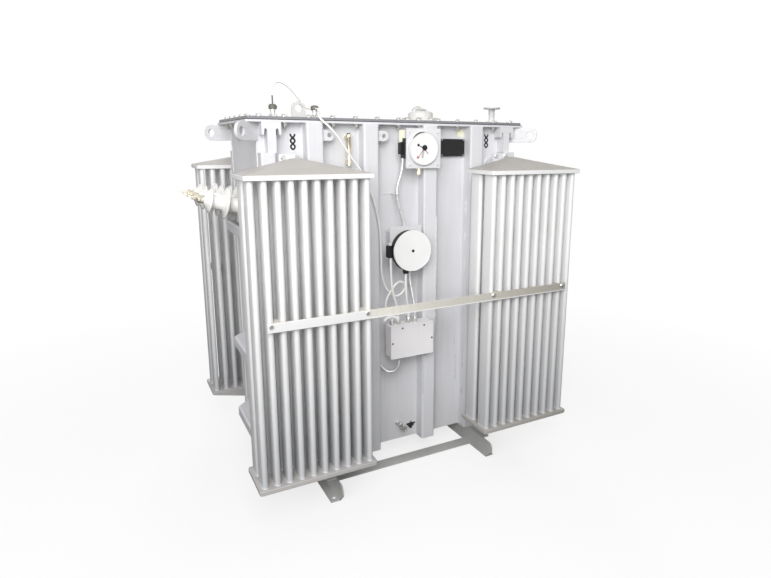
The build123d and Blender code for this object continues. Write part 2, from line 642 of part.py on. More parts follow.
def bushing():
    """Return the socket, the porcelain and the stud of one bushing, its axis along +Z."""
    clamp_z = BUSHING_SOCKET_LENGTH
    porcelain_z = clamp_z + BUSHING_CLAMP_THICKNESS
    socket = rod((0, 0, -BUSHING_SOCKET_LENGTH), (0, 0, clamp_z), BUSHING_SOCKET_RADIUS)
    clamp = rod((0, 0, clamp_z), (0, 0, porcelain_z), BUSHING_CLAMP_RADIUS)
    profile = [(0, porcelain_z), (BUSHING_CORE_RADIUS, porcelain_z)]
    shed_z = porcelain_z + BUSHING_FIRST_SHED
    for rim_radius in BUSHING_SHED_RADII:
        profile += [
            (BUSHING_CORE_RADIUS, shed_z - BUSHING_SHED_ROOT / 2),
            (rim_radius, shed_z - BUSHING_SHED_EDGE / 2),
            (rim_radius, shed_z + BUSHING_SHED_EDGE / 2),
            (BUSHING_CORE_RADIUS, shed_z + BUSHING_SHED_ROOT / 2),
        ]
        shed_z += BUSHING_SHED_PITCH
    shoulder_z = shed_z - BUSHING_SHED_PITCH + BUSHING_SHED_ROOT / 2
    neck_z = shoulder_z + BUSHING_NECK_LENGTH
    neck_foot_z = (shoulder_z + neck_z) / 2
    profile += [(BUSHING_NECK_RADIUS, neck_foot_z), (BUSHING_NECK_RADIUS, neck_z), (0, neck_z)]
    porcelain = revolve(Plane.XZ * make_face(Polyline(*profile, close=True)), Axis.Z)
    nut_z = neck_z + STUD_NUT_LENGTH
    stud_z = neck_z + STUD_LENGTH
    flag_z = stud_z - TERMINAL_LENGTH
    stud = rod((0, 0, neck_z), (0, 0, flag_z + TERMINAL_BITE), STUD_RADIUS)
    stud = stud + hexagon_bar((0, 0, neck_z), (0, 0, nut_z), STUD_NUT_RADIUS)
    flag_x = (-TERMINAL_THICKNESS / 2, TERMINAL_THICKNESS / 2)
    flag_y = (-TERMINAL_WIDTH / 2, TERMINAL_WIDTH / 2)
    flag = block(flag_x, flag_y, (flag_z, stud_z))
    hole_z = stud_z - TERMINAL_HOLE_END
    hole_ends = [(side * (TERMINAL_THICKNESS / 2 + OVERRUN), 0, hole_z) for side in (-1, 1)]
    stud = stud + flag - rod(*hole_ends, TERMINAL_HOLE_RADIUS)
    return socket + clamp, porcelain, stud


def make_bushings():
    """Set three bushings in each end wall, tilted upwards."""
    tank = block((-WALL_X, WALL_X), (-WALL_Y, WALL_Y), (TANK_BOTTOM_Z, RIM_TOP_Z))
    pieces = bushing()
    names = ("bushing_sockets", "bushing_porcelains", "bushing_studs")
    for name, piece in zip(names, pieces):
        placed = []
        for row in (-1, 0, 1):
            seat = Pos(-WALL_X, row * BUSHING_PITCH, BUSHING_WALL_Z) * Rot(0, BUSHING_TILT - 90, 0)
            placed.append(seat * piece - tank)
        save(name, *placed, *[mirror(one, about=Plane.YZ) for one in placed])


# Cover fittings

def make_cover_fittings():
    """Put the lifting eyes, thermometer pockets, relief dome and vent on the cover."""
    top = COVER_TOP_Z
    eye_mid = COVER_EYE_HEIGHT - COVER_EYE_WIDTH / 2
    outline = Pos(0, eye_mid / 2) * Rectangle(COVER_EYE_WIDTH, eye_mid)
    outline = outline + Pos(0, eye_mid) * Circle(COVER_EYE_WIDTH / 2)
    outline = outline - Pos(0, eye_mid) * Circle(COVER_EYE_HOLE_RADIUS)
    eye_front = COVER_EYE_Y - COVER_EYE_THICKNESS / 2
    eye = upright_plate(Pos(COVER_EYE_X, top) * outline, eye_front, COVER_EYE_THICKNESS)
    save("cover_eyes", eye, mirror(eye, about=Plane.YZ))

    pockets = []
    knobs = []
    for x in POCKET_XS:
        neck_top = top + POCKET_HEIGHT
        pocket = rod((x, POCKET_Y, top), (x, POCKET_Y, neck_top), POCKET_RADIUS)
        nut_ends = [(x, POCKET_Y, top), (x, POCKET_Y, top + POCKET_NUT_HEIGHT)]
        pockets.append(pocket + hexagon_bar(*nut_ends, POCKET_NUT_RADIUS))
        knob = rod((x, POCKET_Y, neck_top), (x, POCKET_Y, neck_top + KNOB_HEIGHT), KNOB_RADIUS)
        knobs.append(fillet(knob.edges().group_by(Axis.Z)[-1], KNOB_HEIGHT / 2))
    save("thermometer_pockets", *pockets)
    save("pocket_knobs", *knobs)

    flange_top = top + DOME_FLANGE_THICKNESS
    dome_top = top + DOME_HEIGHT
    save("dome_flange", rod((DOME_X, 0, top), (DOME_X, 0, flange_top), DOME_FLANGE_RADIUS))
    dome = rod((DOME_X, 0, flange_top), (DOME_X, 0, dome_top), DOME_RADIUS)
    dome = fillet(dome.edges().group_by(Axis.Z)[-1], DOME_EDGE_RADIUS)
    save("relief_dome", dome)
    grip_z = dome_top + DOME_GRIP_HEIGHT - DOME_GRIP_RADIUS
    feet = [(DOME_X + side * DOME_GRIP_SPAN / 2, 0, dome_top) for side in (-1, 1)]
    bends = [(DOME_X + side * DOME_GRIP_SPAN / 2, 0, grip_z) for side in (-1, 1)]
    grip = rod(*bends, DOME_GRIP_RADIUS)
    for foot, bend in zip(feet, bends):
        grip = grip + rod(foot, bend, DOME_GRIP_RADIUS) + Pos(*bend) * Sphere(DOME_GRIP_RADIUS)
    save("dome_grip", grip)

    vent_top = top + VENT_HEIGHT
    levels = [top, top + VENT_FOOT_THICKNESS, vent_top, vent_top + VENT_CAP_THICKNESS]
    root, foot_end, cap_start, cap_end = [(VENT_X, POCKET_Y, level) for level in levels]
    vent = rod(root, foot_end, VENT_FOOT_RADIUS) + rod(root, cap_start, VENT_RADIUS)
    vent = vent + rod(cap_start, cap_end, VENT_CAP_RADIUS)
    save("vent_pipe", vent)


# Gauges, junction box and plate on the front wall

def make_upper_gauge():
    """Mount the upper gauge on its square plate in front of a channel."""
    plate_y = -WALL_Y - UPPER_PLATE_FACE
    back_y = plate_y + UPPER_PLATE_SHEET
    outline = RectangleRounded(UPPER_PLATE_SIZE, UPPER_PLATE_SIZE, UPPER_PLATE_RADIUS)
    plate = upright_plate(Pos(UPPER_GAUGE_X, UPPER_GAUGE_Z) * outline, plate_y, UPPER_PLATE_SHEET)
    leg_z = (UPPER_GAUGE_Z - UPPER_PLATE_SIZE / 3, UPPER_GAUGE_Z + UPPER_PLATE_SIZE / 3)
    leg_x = INNER_CHANNEL_X - UPPER_LEG_OFFSET
    leg = block((leg_x, leg_x + UPPER_LEG_WIDTH), (back_y, -CHANNEL_FACE_Y), leg_z)
    save("upper_gauge_plate", plate + leg)
    dial_x = UPPER_GAUGE_X - UPPER_DIAL_OFFSET
    dial_ends = [(dial_x, y, UPPER_GAUGE_Z) for y in (plate_y, plate_y - UPPER_DIAL_DEPTH)]
    dial = rod(*dial_ends, UPPER_DIAL_RADIUS)
    dial = fillet(dial.edges().group_by(Axis.Y)[0], UPPER_DIAL_EDGE)
    save("upper_gauge_dial", dial)
    box_right = UPPER_GAUGE_X - UPPER_PLATE_SIZE / 2 + UPPER_TERMINAL_BITE
    box_left = box_right - UPPER_TERMINAL_BITE - UPPER_TERMINAL_LENGTH
    box_z = (UPPER_GAUGE_Z - UPPER_TERMINAL_HEIGHT / 2, UPPER_GAUGE_Z + UPPER_TERMINAL_HEIGHT / 2)
    terminal = block((box_left, box_right), (back_y, back_y + UPPER_TERMINAL_DEPTH), box_z)
    save("upper_gauge_terminal", fillet(terminal.edges().group_by(Axis.X)[0], UPPER_DIAL_EDGE))
    union_z = UPPER_GAUGE_Z - UPPER_PLATE_SIZE / 2
    union_y = back_y + UPPER_UNION_RADIUS
    union_x = UPPER_GAUGE_X - UPPER_UNION_OFFSET
    levels = [union_z - UPPER_UNION_HEIGHT, union_z, union_z + UPPER_UNION_HEIGHT]
    foot_end, middle, stem_end = [(union_x, union_y, level) for level in levels]
    union = hexagon_bar(foot_end, middle, UPPER_UNION_RADIUS) + rod(middle, stem_end, UPPER_UNION_RADIUS)
    save("upper_gauge_union", union)


def make_lower_gauge():
    """Mount the thermometer gauge on a bracket that stands off the wall."""
    plate_y = -WALL_Y - LOWER_PLATE_FACE
    back_y = plate_y + LOWER_PLATE_SHEET
    plate_z = LOWER_GAUGE_Z + LOWER_PLATE_RISE
    outline = RectangleRounded(LOWER_PLATE_LENGTH, LOWER_PLATE_HEIGHT, LOWER_PLATE_RADIUS)
    plate = upright_plate(Pos(LOWER_PLATE_X, plate_z) * outline, plate_y, LOWER_PLATE_SHEET)
    leg_z = (plate_z - LOWER_PLATE_HEIGHT / 3, plate_z + LOWER_PLATE_HEIGHT / 3)
    for side in (-1, 1):
        leg_x = LOWER_PLATE_X + side * LOWER_LEG_SPACING / 2
        x_range = (leg_x - LOWER_PLATE_SHEET / 2, leg_x + LOWER_PLATE_SHEET / 2)
        plate = plate + block(x_range, (back_y, -WALL_Y), leg_z)
    save("lower_gauge_bracket", plate)
    x, z = LOWER_GAUGE_X, LOWER_GAUGE_Z
    face_y = -WALL_Y - LOWER_DIAL_FACE
    rear_y = face_y + LOWER_DIAL_DEPTH
    body = rod((x, plate_y, z), (x, rear_y, z), LOWER_BODY_RADIUS)
    save("lower_gauge_body", body)
    dial = rod((x, rear_y, z), (x, face_y, z), LOWER_DIAL_RADIUS)
    save("lower_gauge_dial", fillet(dial.edges().group_by(Axis.Y)[0], LOWER_DIAL_EDGE))
    box_right = x - LOWER_BODY_RADIUS + LOWER_TERMINAL_BITE
    box_left = box_right - LOWER_TERMINAL_LENGTH - LOWER_TERMINAL_BITE
    box_z = (z - LOWER_TERMINAL_HEIGHT / 2, z + LOWER_TERMINAL_HEIGHT / 2)
    terminal = block((box_left, box_right), (plate_y - LOWER_TERMINAL_DEPTH, plate_y), box_z) - body
    plug_y = plate_y - LOWER_TERMINAL_DEPTH / 2
    plug_z = z - LOWER_BODY_RADIUS
    plug_ends = [(LOWER_PLUG_X, plug_y, level) for level in (plug_z - LOWER_PLUG_LENGTH, z)]
    plug = rod(*plug_ends, LOWER_PLUG_RADIUS) - body
    save("lower_gauge_terminals", terminal, plug)


def make_junction_box():
    """Stand the junction box off the wall on two legs and add its glands."""
    back_y = -WALL_Y - BOX_BACK
    front_y = back_y - BOX_DEPTH + BOX_LID
    depth = BOX_DEPTH - BOX_LID
    middle = Pos(BOX_X, BOX_Z)
    outer = upright_plate(middle * RectangleRounded(BOX_LENGTH, BOX_HEIGHT, BOX_RADIUS), front_y, depth)
    inner_length = BOX_LENGTH - 2 * BOX_SHEET
    inner_height = BOX_HEIGHT - 2 * BOX_SHEET
    inner_outline = RectangleRounded(inner_length, inner_height, BOX_RADIUS - BOX_SHEET)
    inner = upright_plate(middle * inner_outline, front_y - OVERRUN, depth - BOX_SHEET + OVERRUN)
    save("junction_box", outer - inner)
    lid_length = BOX_LENGTH + 2 * BOX_LID_OVERHANG
    lid_height = BOX_HEIGHT + 2 * BOX_LID_OVERHANG
    lid_outline = RectangleRounded(lid_length, lid_height, BOX_RADIUS)
    save("junction_box_lid", upright_plate(middle * lid_outline, front_y - BOX_LID, BOX_LID))
    legs = []
    right_leg_x = INNER_CHANNEL_X - CHANNEL_WIDTH / 2 - BOX_LEG_GAP
    for leg_x in (right_leg_x, right_leg_x - BOX_LEG_SPACING):
        leg_z = (BOX_Z - BOX_LEG_HEIGHT / 2, BOX_Z + BOX_LEG_HEIGHT / 2)
        legs.append(block((leg_x - BOX_LEG_WIDTH / 2, leg_x + BOX_LEG_WIDTH / 2), (back_y, -WALL_Y), leg_z))
    save("junction_box_legs", *legs)
    glands = []
    gland_y = -WALL_Y - GLAND_DEPTH
    for xs, direction in ((TOP_GLAND_XS, 1), (BOTTOM_GLAND_XS, -1)):
        root_z = BOX_Z + direction * BOX_HEIGHT / 2
        nut_z = root_z + direction * GLAND_NUT_LENGTH
        end_z = root_z + direction * GLAND_LENGTH
        for x in xs:
            nut = hexagon_bar((x, gland_y, root_z), (x, gland_y, nut_z), GLAND_NUT_RADIUS)
            glands.append(nut + rod((x, gland_y, root_z), (x, gland_y, end_z), GLAND_RADIUS))
    save("cable_glands", *glands)


def make_wall_fittings():
    """Add the rating plate, the oil level tube, the drain valve and the earthing boss."""
    spacer_front = -WALL_Y - RATING_SPACER_DEPTH
    outline = RectangleRounded(RATING_PLATE_LENGTH, RATING_PLATE_HEIGHT, RATING_PLATE_SHEET)
    plate_y = spacer_front - RATING_PLATE_SHEET
    plate = upright_plate(Pos(RATING_PLATE_X, RATING_PLATE_Z) * outline, plate_y, RATING_PLATE_SHEET)
    save("rating_plate", plate)
    spacers = []
    for side in (-1, 1):
        spacer_x = RATING_PLATE_X + side * (RATING_PLATE_LENGTH / 2 - RATING_SPACER_INSET)
        x_range = (spacer_x - RATING_SPACER_WIDTH / 2, spacer_x + RATING_SPACER_WIDTH / 2)
        z_range = (RATING_PLATE_Z - RATING_PLATE_HEIGHT / 2, RATING_PLATE_Z + RATING_PLATE_HEIGHT / 2)
        spacers.append(block(x_range, (spacer_front, -WALL_Y), z_range))
    save("rating_plate_spacers", *spacers)

    level_y = -WALL_Y - LEVEL_DEPTH
    bottom_z = COVER_TOP_Z - LEVEL_BOTTOM_DROP
    top_z = COVER_TOP_Z - LEVEL_TOP_DROP
    level = rod((LEVEL_X, level_y, bottom_z), (LEVEL_X, level_y, top_z), LEVEL_RADIUS)
    for arm_z in (bottom_z + LEVEL_ARM_INSET, top_z - LEVEL_ARM_INSET):
        level = level + rod((LEVEL_X, -WALL_Y, arm_z), (LEVEL_X, level_y, arm_z), LEVEL_ARM_RADIUS)
    save("oil_level_tube", level)

    valve_end = (DRAIN_X, -WALL_Y - DRAIN_LENGTH, DRAIN_Z)
    flange_end = (DRAIN_X, -WALL_Y - DRAIN_FLANGE_THICKNESS, DRAIN_Z)
    spout_y = -WALL_Y - DRAIN_LENGTH + DRAIN_RADIUS
    valve = rod((DRAIN_X, -WALL_Y, DRAIN_Z), valve_end, DRAIN_RADIUS)
    valve = valve + rod((DRAIN_X, -WALL_Y, DRAIN_Z), flange_end, DRAIN_FLANGE_RADIUS)
    spout_ends = [(DRAIN_X, spout_y, level) for level in (DRAIN_Z, DRAIN_Z - DRAIN_SPOUT_LENGTH)]
    valve = valve + rod(*spout_ends, DRAIN_SPOUT_RADIUS)
    save("drain_valve", valve)
    boss_end = (EARTH_X, -WALL_Y - EARTH_BOSS_LENGTH, EARTH_Z)
    save("earthing_boss", rod((EARTH_X, -WALL_Y, EARTH_Z), boss_end, EARTH_BOSS_RADIUS))


# Leads

def lead(points, radius):
    """Sweep a round lead along straight runs that tangent arcs join."""
    vectors = [Vector(*point) for point in points]
    bends = []
    for before, corner, after in zip(vectors, vectors[1:], vectors[2:]):
        turn = radians((corner - before).get_angle(after - corner))
        run = min((corner - before).length, (after - corner).length)
        bends.append(BEND_SHARE * run / tan(turn / 2))
    path = FilletPolyline(*vectors, radius=bends)
    print("bend radii", [round(bend) for bend in bends], "length", round(path.length))
    return sweep(Plane(origin=path @ 0, z_dir=path % 0) * Circle(radius), path=path)


def wall_point(across, reach, height):
    """Return a point before the front wall, as shares of tank length, channel depth and cover height."""
    return (across * TANK_LENGTH, -CHANNEL_FACE_Y - reach * CHANNEL_DEPTH, height * COVER_TOP_Z)


def make_leads():
    """Run the leads from the cover and the gauges to the junction box."""
    knob_top = COVER_TOP_Z + POCKET_HEIGHT + KNOB_HEIGHT
    knob_side = COVER_TOP_Z + POCKET_HEIGHT + KNOB_HEIGHT / 4
    gland_y = -WALL_Y - GLAND_DEPTH
    gland_top = BOX_Z + BOX_HEIGHT / 2 + GLAND_LENGTH
    gland_foot = BOX_Z - BOX_HEIGHT / 2 - GLAND_LENGTH
    above_gland = gland_top + LEAD_STRAIGHT
    under_gland = gland_foot - LEAD_STRAIGHT
    first_x, last_x = POCKET_XS
    span = last_x - first_x
    seat = KNOB_RADIUS + LEAD_SEAT_GAP
    capillary_rise = [(0.0, 2.5), (0.04, 4.2), (0.232, 4.4), (0.458, 2.9), (0.661, 0.7)]
    capillary_route = [
        (first_x, POCKET_Y, knob_top),
        *[(first_x + across * span, POCKET_Y, knob_top + up * KNOB_HEIGHT) for across, up in capillary_rise],
        (last_x - seat - LEAD_STRAIGHT, POCKET_Y, knob_side),
        (last_x - seat, POCKET_Y, knob_side),
    ]
    save("pocket_capillary", lead(capillary_route, CAPILLARY_RADIUS))
    cover_way = [
        (-0.2932, -0.8667, 1.01625), (-0.3064, 0.0333, 0.99875), (-0.27265, 0.1667, 0.9775),
        (-0.23806, 0.2, 0.9475), (-0.2043, 0.2333, 0.90625), (-0.1639, 0.2667, 0.86875),
        (-0.1334, 0.3333, 0.81875), (-0.1087, 0.3667, 0.7625), (-0.0955, 0.3333, 0.7),
        (-0.0914, 0.2833, 0.64), (-0.0906, 0.25, 0.585), (-0.0700, 0.2333, 0.538),
        (-0.0264, 0.2667, 0.5125), (0.0124, 0.4, 0.5450), (-0.0247, 0.5, 0.5690),
        (-0.0675, 0.5333, 0.5325), (-0.0865, 0.5333, 0.4960),
    ]
    cover_route = [
        (last_x, POCKET_Y - seat, knob_side),
        (last_x, POCKET_Y - seat - LEAD_STRAIGHT, knob_side),
        *[wall_point(*share) for share in cover_way],
        (TOP_GLAND_XS[0], gland_y, above_gland),
        (TOP_GLAND_XS[0], gland_y, gland_top),
    ]
    save("cover_lead", lead(cover_route, LEAD_RADIUS))
    upper_y = -WALL_Y - UPPER_PLATE_FACE + UPPER_PLATE_SHEET + UPPER_TERMINAL_DEPTH / 2
    upper_foot = UPPER_GAUGE_Z - UPPER_TERMINAL_HEIGHT / 2
    upper_x = UPPER_GAUGE_X - UPPER_PLATE_SIZE / 2 - HOSE_RADIUS
    upper_way = [
        (-0.0247, 0.0333, 0.81875), (-0.0198, 0.0333, 0.78125), (-0.0033, 0.0333, 0.74375),
        (0.0115, 0.0333, 0.7), (0.0214, 0.0333, 0.65), (0.0264, 0.0667, 0.59375), (0.0313, 0.1667, 0.54375),
    ]
    upper_route = [
        (upper_x, upper_y, upper_foot),
        (upper_x, upper_y, upper_foot - 2 * LEAD_STRAIGHT),
        *[wall_point(*share) for share in upper_way],
        (TOP_GLAND_XS[3], gland_y, above_gland + LEAD_STRAIGHT),
        (TOP_GLAND_XS[3], gland_y, gland_top),
    ]
    save("upper_gauge_lead", lead(upper_route, HOSE_RADIUS))
    plug_y = -WALL_Y - LOWER_PLATE_FACE - LOWER_TERMINAL_DEPTH / 2
    terminal_x = LOWER_GAUGE_X - LOWER_BODY_RADIUS - LEAD_RADIUS
    terminal_foot = LOWER_GAUGE_Z - LOWER_TERMINAL_HEIGHT / 2
    plug_foot = LOWER_GAUGE_Z - LOWER_BODY_RADIUS - LOWER_PLUG_LENGTH
    left_route = [
        (terminal_x, plug_y, terminal_foot),
        (terminal_x, plug_y, terminal_foot - 3 * LEAD_STRAIGHT),
        wall_point(-0.0560, 0.6667, 0.5375),
        wall_point(-0.0395, 0.6167, 0.5),
        (TOP_GLAND_XS[1], gland_y, above_gland),
        (TOP_GLAND_XS[1], gland_y, gland_top),
    ]
    plug_route = [
        (LOWER_PLUG_X, plug_y, plug_foot),
        (LOWER_PLUG_X, plug_y, plug_foot - 2 * LEAD_STRAIGHT),
        wall_point(0.0025, 0.65, 0.51375),
        (TOP_GLAND_XS[2], gland_y, above_gland),
        (TOP_GLAND_XS[2], gland_y, gland_top),
    ]
    save("lower_gauge_leads", lead(left_route, LEAD_RADIUS), lead(plug_route, LEAD_RADIUS))
    channel_side = CHANNEL_WIDTH / 2 - INNER_CHANNEL_X
    entry_y = -WALL_Y - 2 * LEAD_STRAIGHT
    entry_z = under_gland
    conduit_route = [
        (BOTTOM_GLAND_XS[0], gland_y, gland_foot),
        (BOTTOM_GLAND_XS[0], gland_y, under_gland),
        wall_point(-0.0346, 0.3667, 0.31125),
        wall_point(-0.0527, 0.0667, 0.30875),
        (channel_side + LEAD_STRAIGHT, entry_y, entry_z),
        (channel_side, entry_y, entry_z),
    ]
    save("bottom_conduit", lead(conduit_route, HOSE_RADIUS))


make_tank()
make_cover()
make_stiffeners()
make_lifting_points()
make_radiators()
make_braces()
make_skids()
make_bushings()
make_cover_fittings()
make_upper_gauge()
make_lower_gauge()
make_junction_box()
make_wall_fittings()
make_leads()
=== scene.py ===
"""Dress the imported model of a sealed, oil-filled power transformer.

The CAD nodes keep their places. Round pieces, oval tubes, leads, bolts, welds and painted
handling marks are smooth surfaces worked out here, and most are placed from the box of the
node that carries them. Sizes are in millimetres and meshes in metres. X runs along the gauge
wall to its right, Y goes away from it and Z goes up.
"""
import json
import logging
from dataclasses import dataclass, field
from enum import Enum
from math import cos, pi, radians, sin
from typing import Iterable, Sequence

import bpy
import numpy as np
from mathutils import Matrix, Vector


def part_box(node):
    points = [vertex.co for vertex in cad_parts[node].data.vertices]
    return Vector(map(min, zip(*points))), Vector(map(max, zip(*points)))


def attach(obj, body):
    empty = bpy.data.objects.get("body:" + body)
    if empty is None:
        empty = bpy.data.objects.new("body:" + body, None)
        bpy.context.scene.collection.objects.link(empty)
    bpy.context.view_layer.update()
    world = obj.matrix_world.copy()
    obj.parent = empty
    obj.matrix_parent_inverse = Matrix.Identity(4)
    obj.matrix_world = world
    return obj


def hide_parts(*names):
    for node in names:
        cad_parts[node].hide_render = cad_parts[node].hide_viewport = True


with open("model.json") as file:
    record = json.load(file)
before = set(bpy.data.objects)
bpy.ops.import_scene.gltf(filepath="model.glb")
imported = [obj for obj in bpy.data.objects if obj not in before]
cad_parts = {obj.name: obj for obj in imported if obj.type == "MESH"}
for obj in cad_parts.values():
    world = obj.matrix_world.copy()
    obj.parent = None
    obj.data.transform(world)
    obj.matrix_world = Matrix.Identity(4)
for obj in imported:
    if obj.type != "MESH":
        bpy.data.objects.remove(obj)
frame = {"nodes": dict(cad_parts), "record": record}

Array = np.ndarray
Point = tuple[float, float, float]
Profile = Sequence[tuple[float, float]]
LOG = logging.getLogger("transformer")
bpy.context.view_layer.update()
BODY = "root"
MM = 0.001
SIDES = (-1, 1)
RIGHT = (1.0, 0.0, 0.0)
FRONT = (0.0, -1.0, 0.0)
REAR = (0.0, 1.0, 0.0)
UP = (0.0, 0.0, 1.0)
DOWN = (0.0, 0.0, -1.0)


class Slot(Enum):
    """The record's material slots."""

    TANK = "tank_paint"
    COVER = "cover_paint"
    GASKET = "gasket"
    RADIATOR = "radiator_paint"
    HEADER = "header_paint"
    BRACE = "brace_paint"
    SKID = "skid_paint"
    PORCELAIN = "porcelain"
    STUD = "stud_brass"
    ZINC = "zinc"
    KNOB = "knob_plastic"
    GAUGE = "gauge_paint"
    DIAL = "dial_white"
    BLACK = "black_plastic"
    BRASS = "brass"
    BOX = "box_paint"
    PLATE = "black_plate"
    CAPILLARY = "capillary"
    WHITE_LEAD = "white_lead"
    METAL_LEAD = "metal_lead"
    FILLING = "filling"
    FITTING = "fitting_paint"


# Surfaces worked out with numpy


@dataclass
class Shell:
    """A closed surface under construction, in metres."""

    points: Array
    quads: Array = field(default_factory=lambda: np.zeros((0, 4), int))
    tris: Array = field(default_factory=lambda: np.zeros((0, 3), int))

    def placed(self, seats: Array) -> "Shell":
        """Copy the surface to each of several places.

        Args:
            seats: one 4 by 4 matrix, or a stack of them.

        Returns:
            One surface that holds all the copies.
        """
        seats = np.atleast_3d(seats).reshape(-1, 4, 4)
        count, size = len(seats), len(self.points)
        moved = np.einsum("pij,nj->pni", seats[:, :3, :3], self.points) + seats[:, None, :3, 3]
        shift = (np.arange(count) * size)[:, None, None]
        quads, tris = self.quads[None] + shift, self.tris[None] + shift
        return Shell(moved.reshape(-1, 3), quads.reshape(-1, 4), tris.reshape(-1, 3))

    def moved(self, offset: Sequence[float]) -> "Shell":
        """Return the surface moved by an offset in metres."""
        return Shell(self.points + np.asarray(offset), self.quads, self.tris)

    def lifted(self, height: float) -> "Shell":
        """Return the surface moved upwards by a height in millimetres."""
        return self.moved((0, 0, height * MM))


def joined(shells: Iterable[Shell]) -> Shell:
    """Put several surfaces into one.

    Args:
        shells: the surfaces.

    Returns:
        A surface with all their points and faces.
    """
    parts = list(shells)
    starts = np.cumsum([0] + [len(part.points) for part in parts[:-1]])
    return Shell(
        np.vstack([part.points for part in parts]),
        np.vstack([part.quads + start for part, start in zip(parts, starts)]),
        np.vstack([part.tris + start for part, start in zip(parts, starts)]),
    )


def stack(rings: Array) -> Shell:
    """Skin a stack of rings and close both ends with a fan round the middle of the end ring.

    Args:
        rings: rows by sides by 3 points, counter-clockwise as seen from the last ring.

    Returns:
        A closed surface.
    """
    rows, sides = rings.shape[:2]
    row, side = np.meshgrid(np.arange(rows - 1), np.arange(sides), indexing="ij")
    here, beside = row * sides + side, row * sides + (side + 1) % sides
    quads = np.stack([here, beside, beside + sides, here + sides], -1)
    around = np.arange(sides)
    last, foot, head = (rows - 1) * sides, rows * sides, rows * sides + 1
    bottom = np.stack([np.full(sides, foot), (around + 1) % sides, around], -1)
    top = np.stack([np.full(sides, head), last + around, last + (around + 1) % sides], -1)
    points = np.vstack([rings.reshape(-1, 3), rings[0].mean(0), rings[-1].mean(0)])
    return Shell(points, quads.reshape(-1, 4), np.vstack([bottom, top]))


def around_z(count: int, radius: float, start: float = 0.0) -> Array:
    """Return points evenly spaced on a circle: x = r cos t, y = r sin t.

    Args:
        count: number of points.
        radius: radius in the unit that the points come back in.
        start: angle of the first point, in radians.

    Returns:
        One row for each point.
    """
    turn = np.arange(count) * 2 * pi / count + start
    return np.column_stack([radius * np.cos(turn), radius * np.sin(turn)])


def lathe(profile: Profile, sides: int = 40) -> Shell:
    """Turn a profile about the Z axis: x = r cos t, y = r sin t, z = h.

    Args:
        profile: radius and height pairs in millimetres, from the foot to the top, none of radius 0.
        sides: points round the axis.

    Returns:
        A closed surface of revolution.
    """
    outline = np.asarray(profile, float) * MM
    circle = around_z(sides, 1.0)
    rings = np.empty((len(outline), sides, 3))
    rings[..., :2] = outline[:, :1, None] * circle[None]
    rings[..., 2] = outline[:, 1:]
    return stack(rings)


def disc_profile(radius: float, low: float, high: float, edge: float = 1.0) -> list[tuple[float, float]]:
    """Return the lathe profile of a disc with both edges broken.

    Args:
        radius: radius in millimetres.
        low: height of its foot.
        high: height of its top.
        edge: how far the edges are broken.

    Returns:
        Radius and height pairs.
    """
    return [(radius - edge, low), (radius, low + edge), (radius, high - edge), (radius - edge, high)]


def peg(radius: float, height: float, sides: int = 28, edge: float = 1.0) -> Shell:
    """Return a round peg on Z 0, turned down by the edge over its last millimetre."""
    return lathe([(radius, 0), (radius, height - 1), (radius - edge, height)], sides)


def rounded_outline(length: float, height: float, radius: float, steps: int = 6) -> Array:
    """Return a rectangle with round corners: each corner is a quarter circle about its own centre.

    Args:
        length: size along the first axis, in millimetres.
        height: size along the second axis.
        radius: corner radius.
        steps: points on each corner.

    Returns:
        Points in metres, counter-clockwise.
    """
    turn = np.linspace(0, pi / 2, steps)[None] + np.arange(4)[:, None] * pi / 2
    signs = np.array([(1, 1), (-1, 1), (-1, -1), (1, -1)], float)
    centres = signs * [length / 2 - radius, height / 2 - radius]
    arcs = centres[:, None] + radius * np.stack([np.cos(turn), np.sin(turn)], -1)
    return arcs.reshape(-1, 2) * MM


def oval_outline(depth: float, thickness: float, steps: int = 11) -> Array:
    """Return a flat oval: two half circles of half the thickness, pulled apart along Y.

    Args:
        depth: size along Y, in millimetres.
        thickness: size along X.
        steps: points on each half circle.

    Returns:
        Points in metres, counter-clockwise.
    """
    radius = thickness / 2
    turn = np.linspace(0, pi, steps)
    upper = np.stack([radius * np.cos(turn), radius * np.sin(turn) + depth / 2 - radius], -1)
    return np.vstack([upper, -upper]) * MM


def layered(outlines: Sequence[Array], heights: Sequence[float]) -> Shell:
    """Stack flat outlines at given heights in millimetres and close the ends."""
    return stack(np.stack([np.column_stack([one, np.full(len(one), z * MM)]) for one, z in zip(outlines, heights)]))


def slab(length: float, height: float, thickness: float, radius: float = 3.0, edge: float = 0.8) -> Shell:
    """Return a plate in the XY plane with round corners and softened edges, from Z 0 upwards.

    Args:
        length: size along X, in millimetres.
        height: size along Y.
        thickness: size along Z.
        radius: corner radius.
        edge: how far the edges are broken.

    Returns:
        A closed plate.
    """
    full = rounded_outline(length, height, radius)
    inner = rounded_outline(length - 2 * edge, height - 2 * edge, max(radius - edge, 0.1))
    return layered([inner, full, full, inner], [0, edge, thickness - edge, thickness])


def hexagon(radius: float, height: float) -> Shell:
    """Return a six-sided nut or bolt head, with its corners turned down over the top seventh of its height.

    Args:
        radius: radius to its corners, in millimetres.
        height: its height.

    Returns:
        A closed surface.
    """
    turned = 0.95 * cos(pi / 6)
    reach = np.where(np.arange(12) % 2 == 0, 1.0, cos(pi / 6))[:, None]
    base = around_z(12, radius) * reach * MM
    crown = around_z(12, radius * turned) * MM
    return layered([base, base, crown], [0, height * 0.86, height])


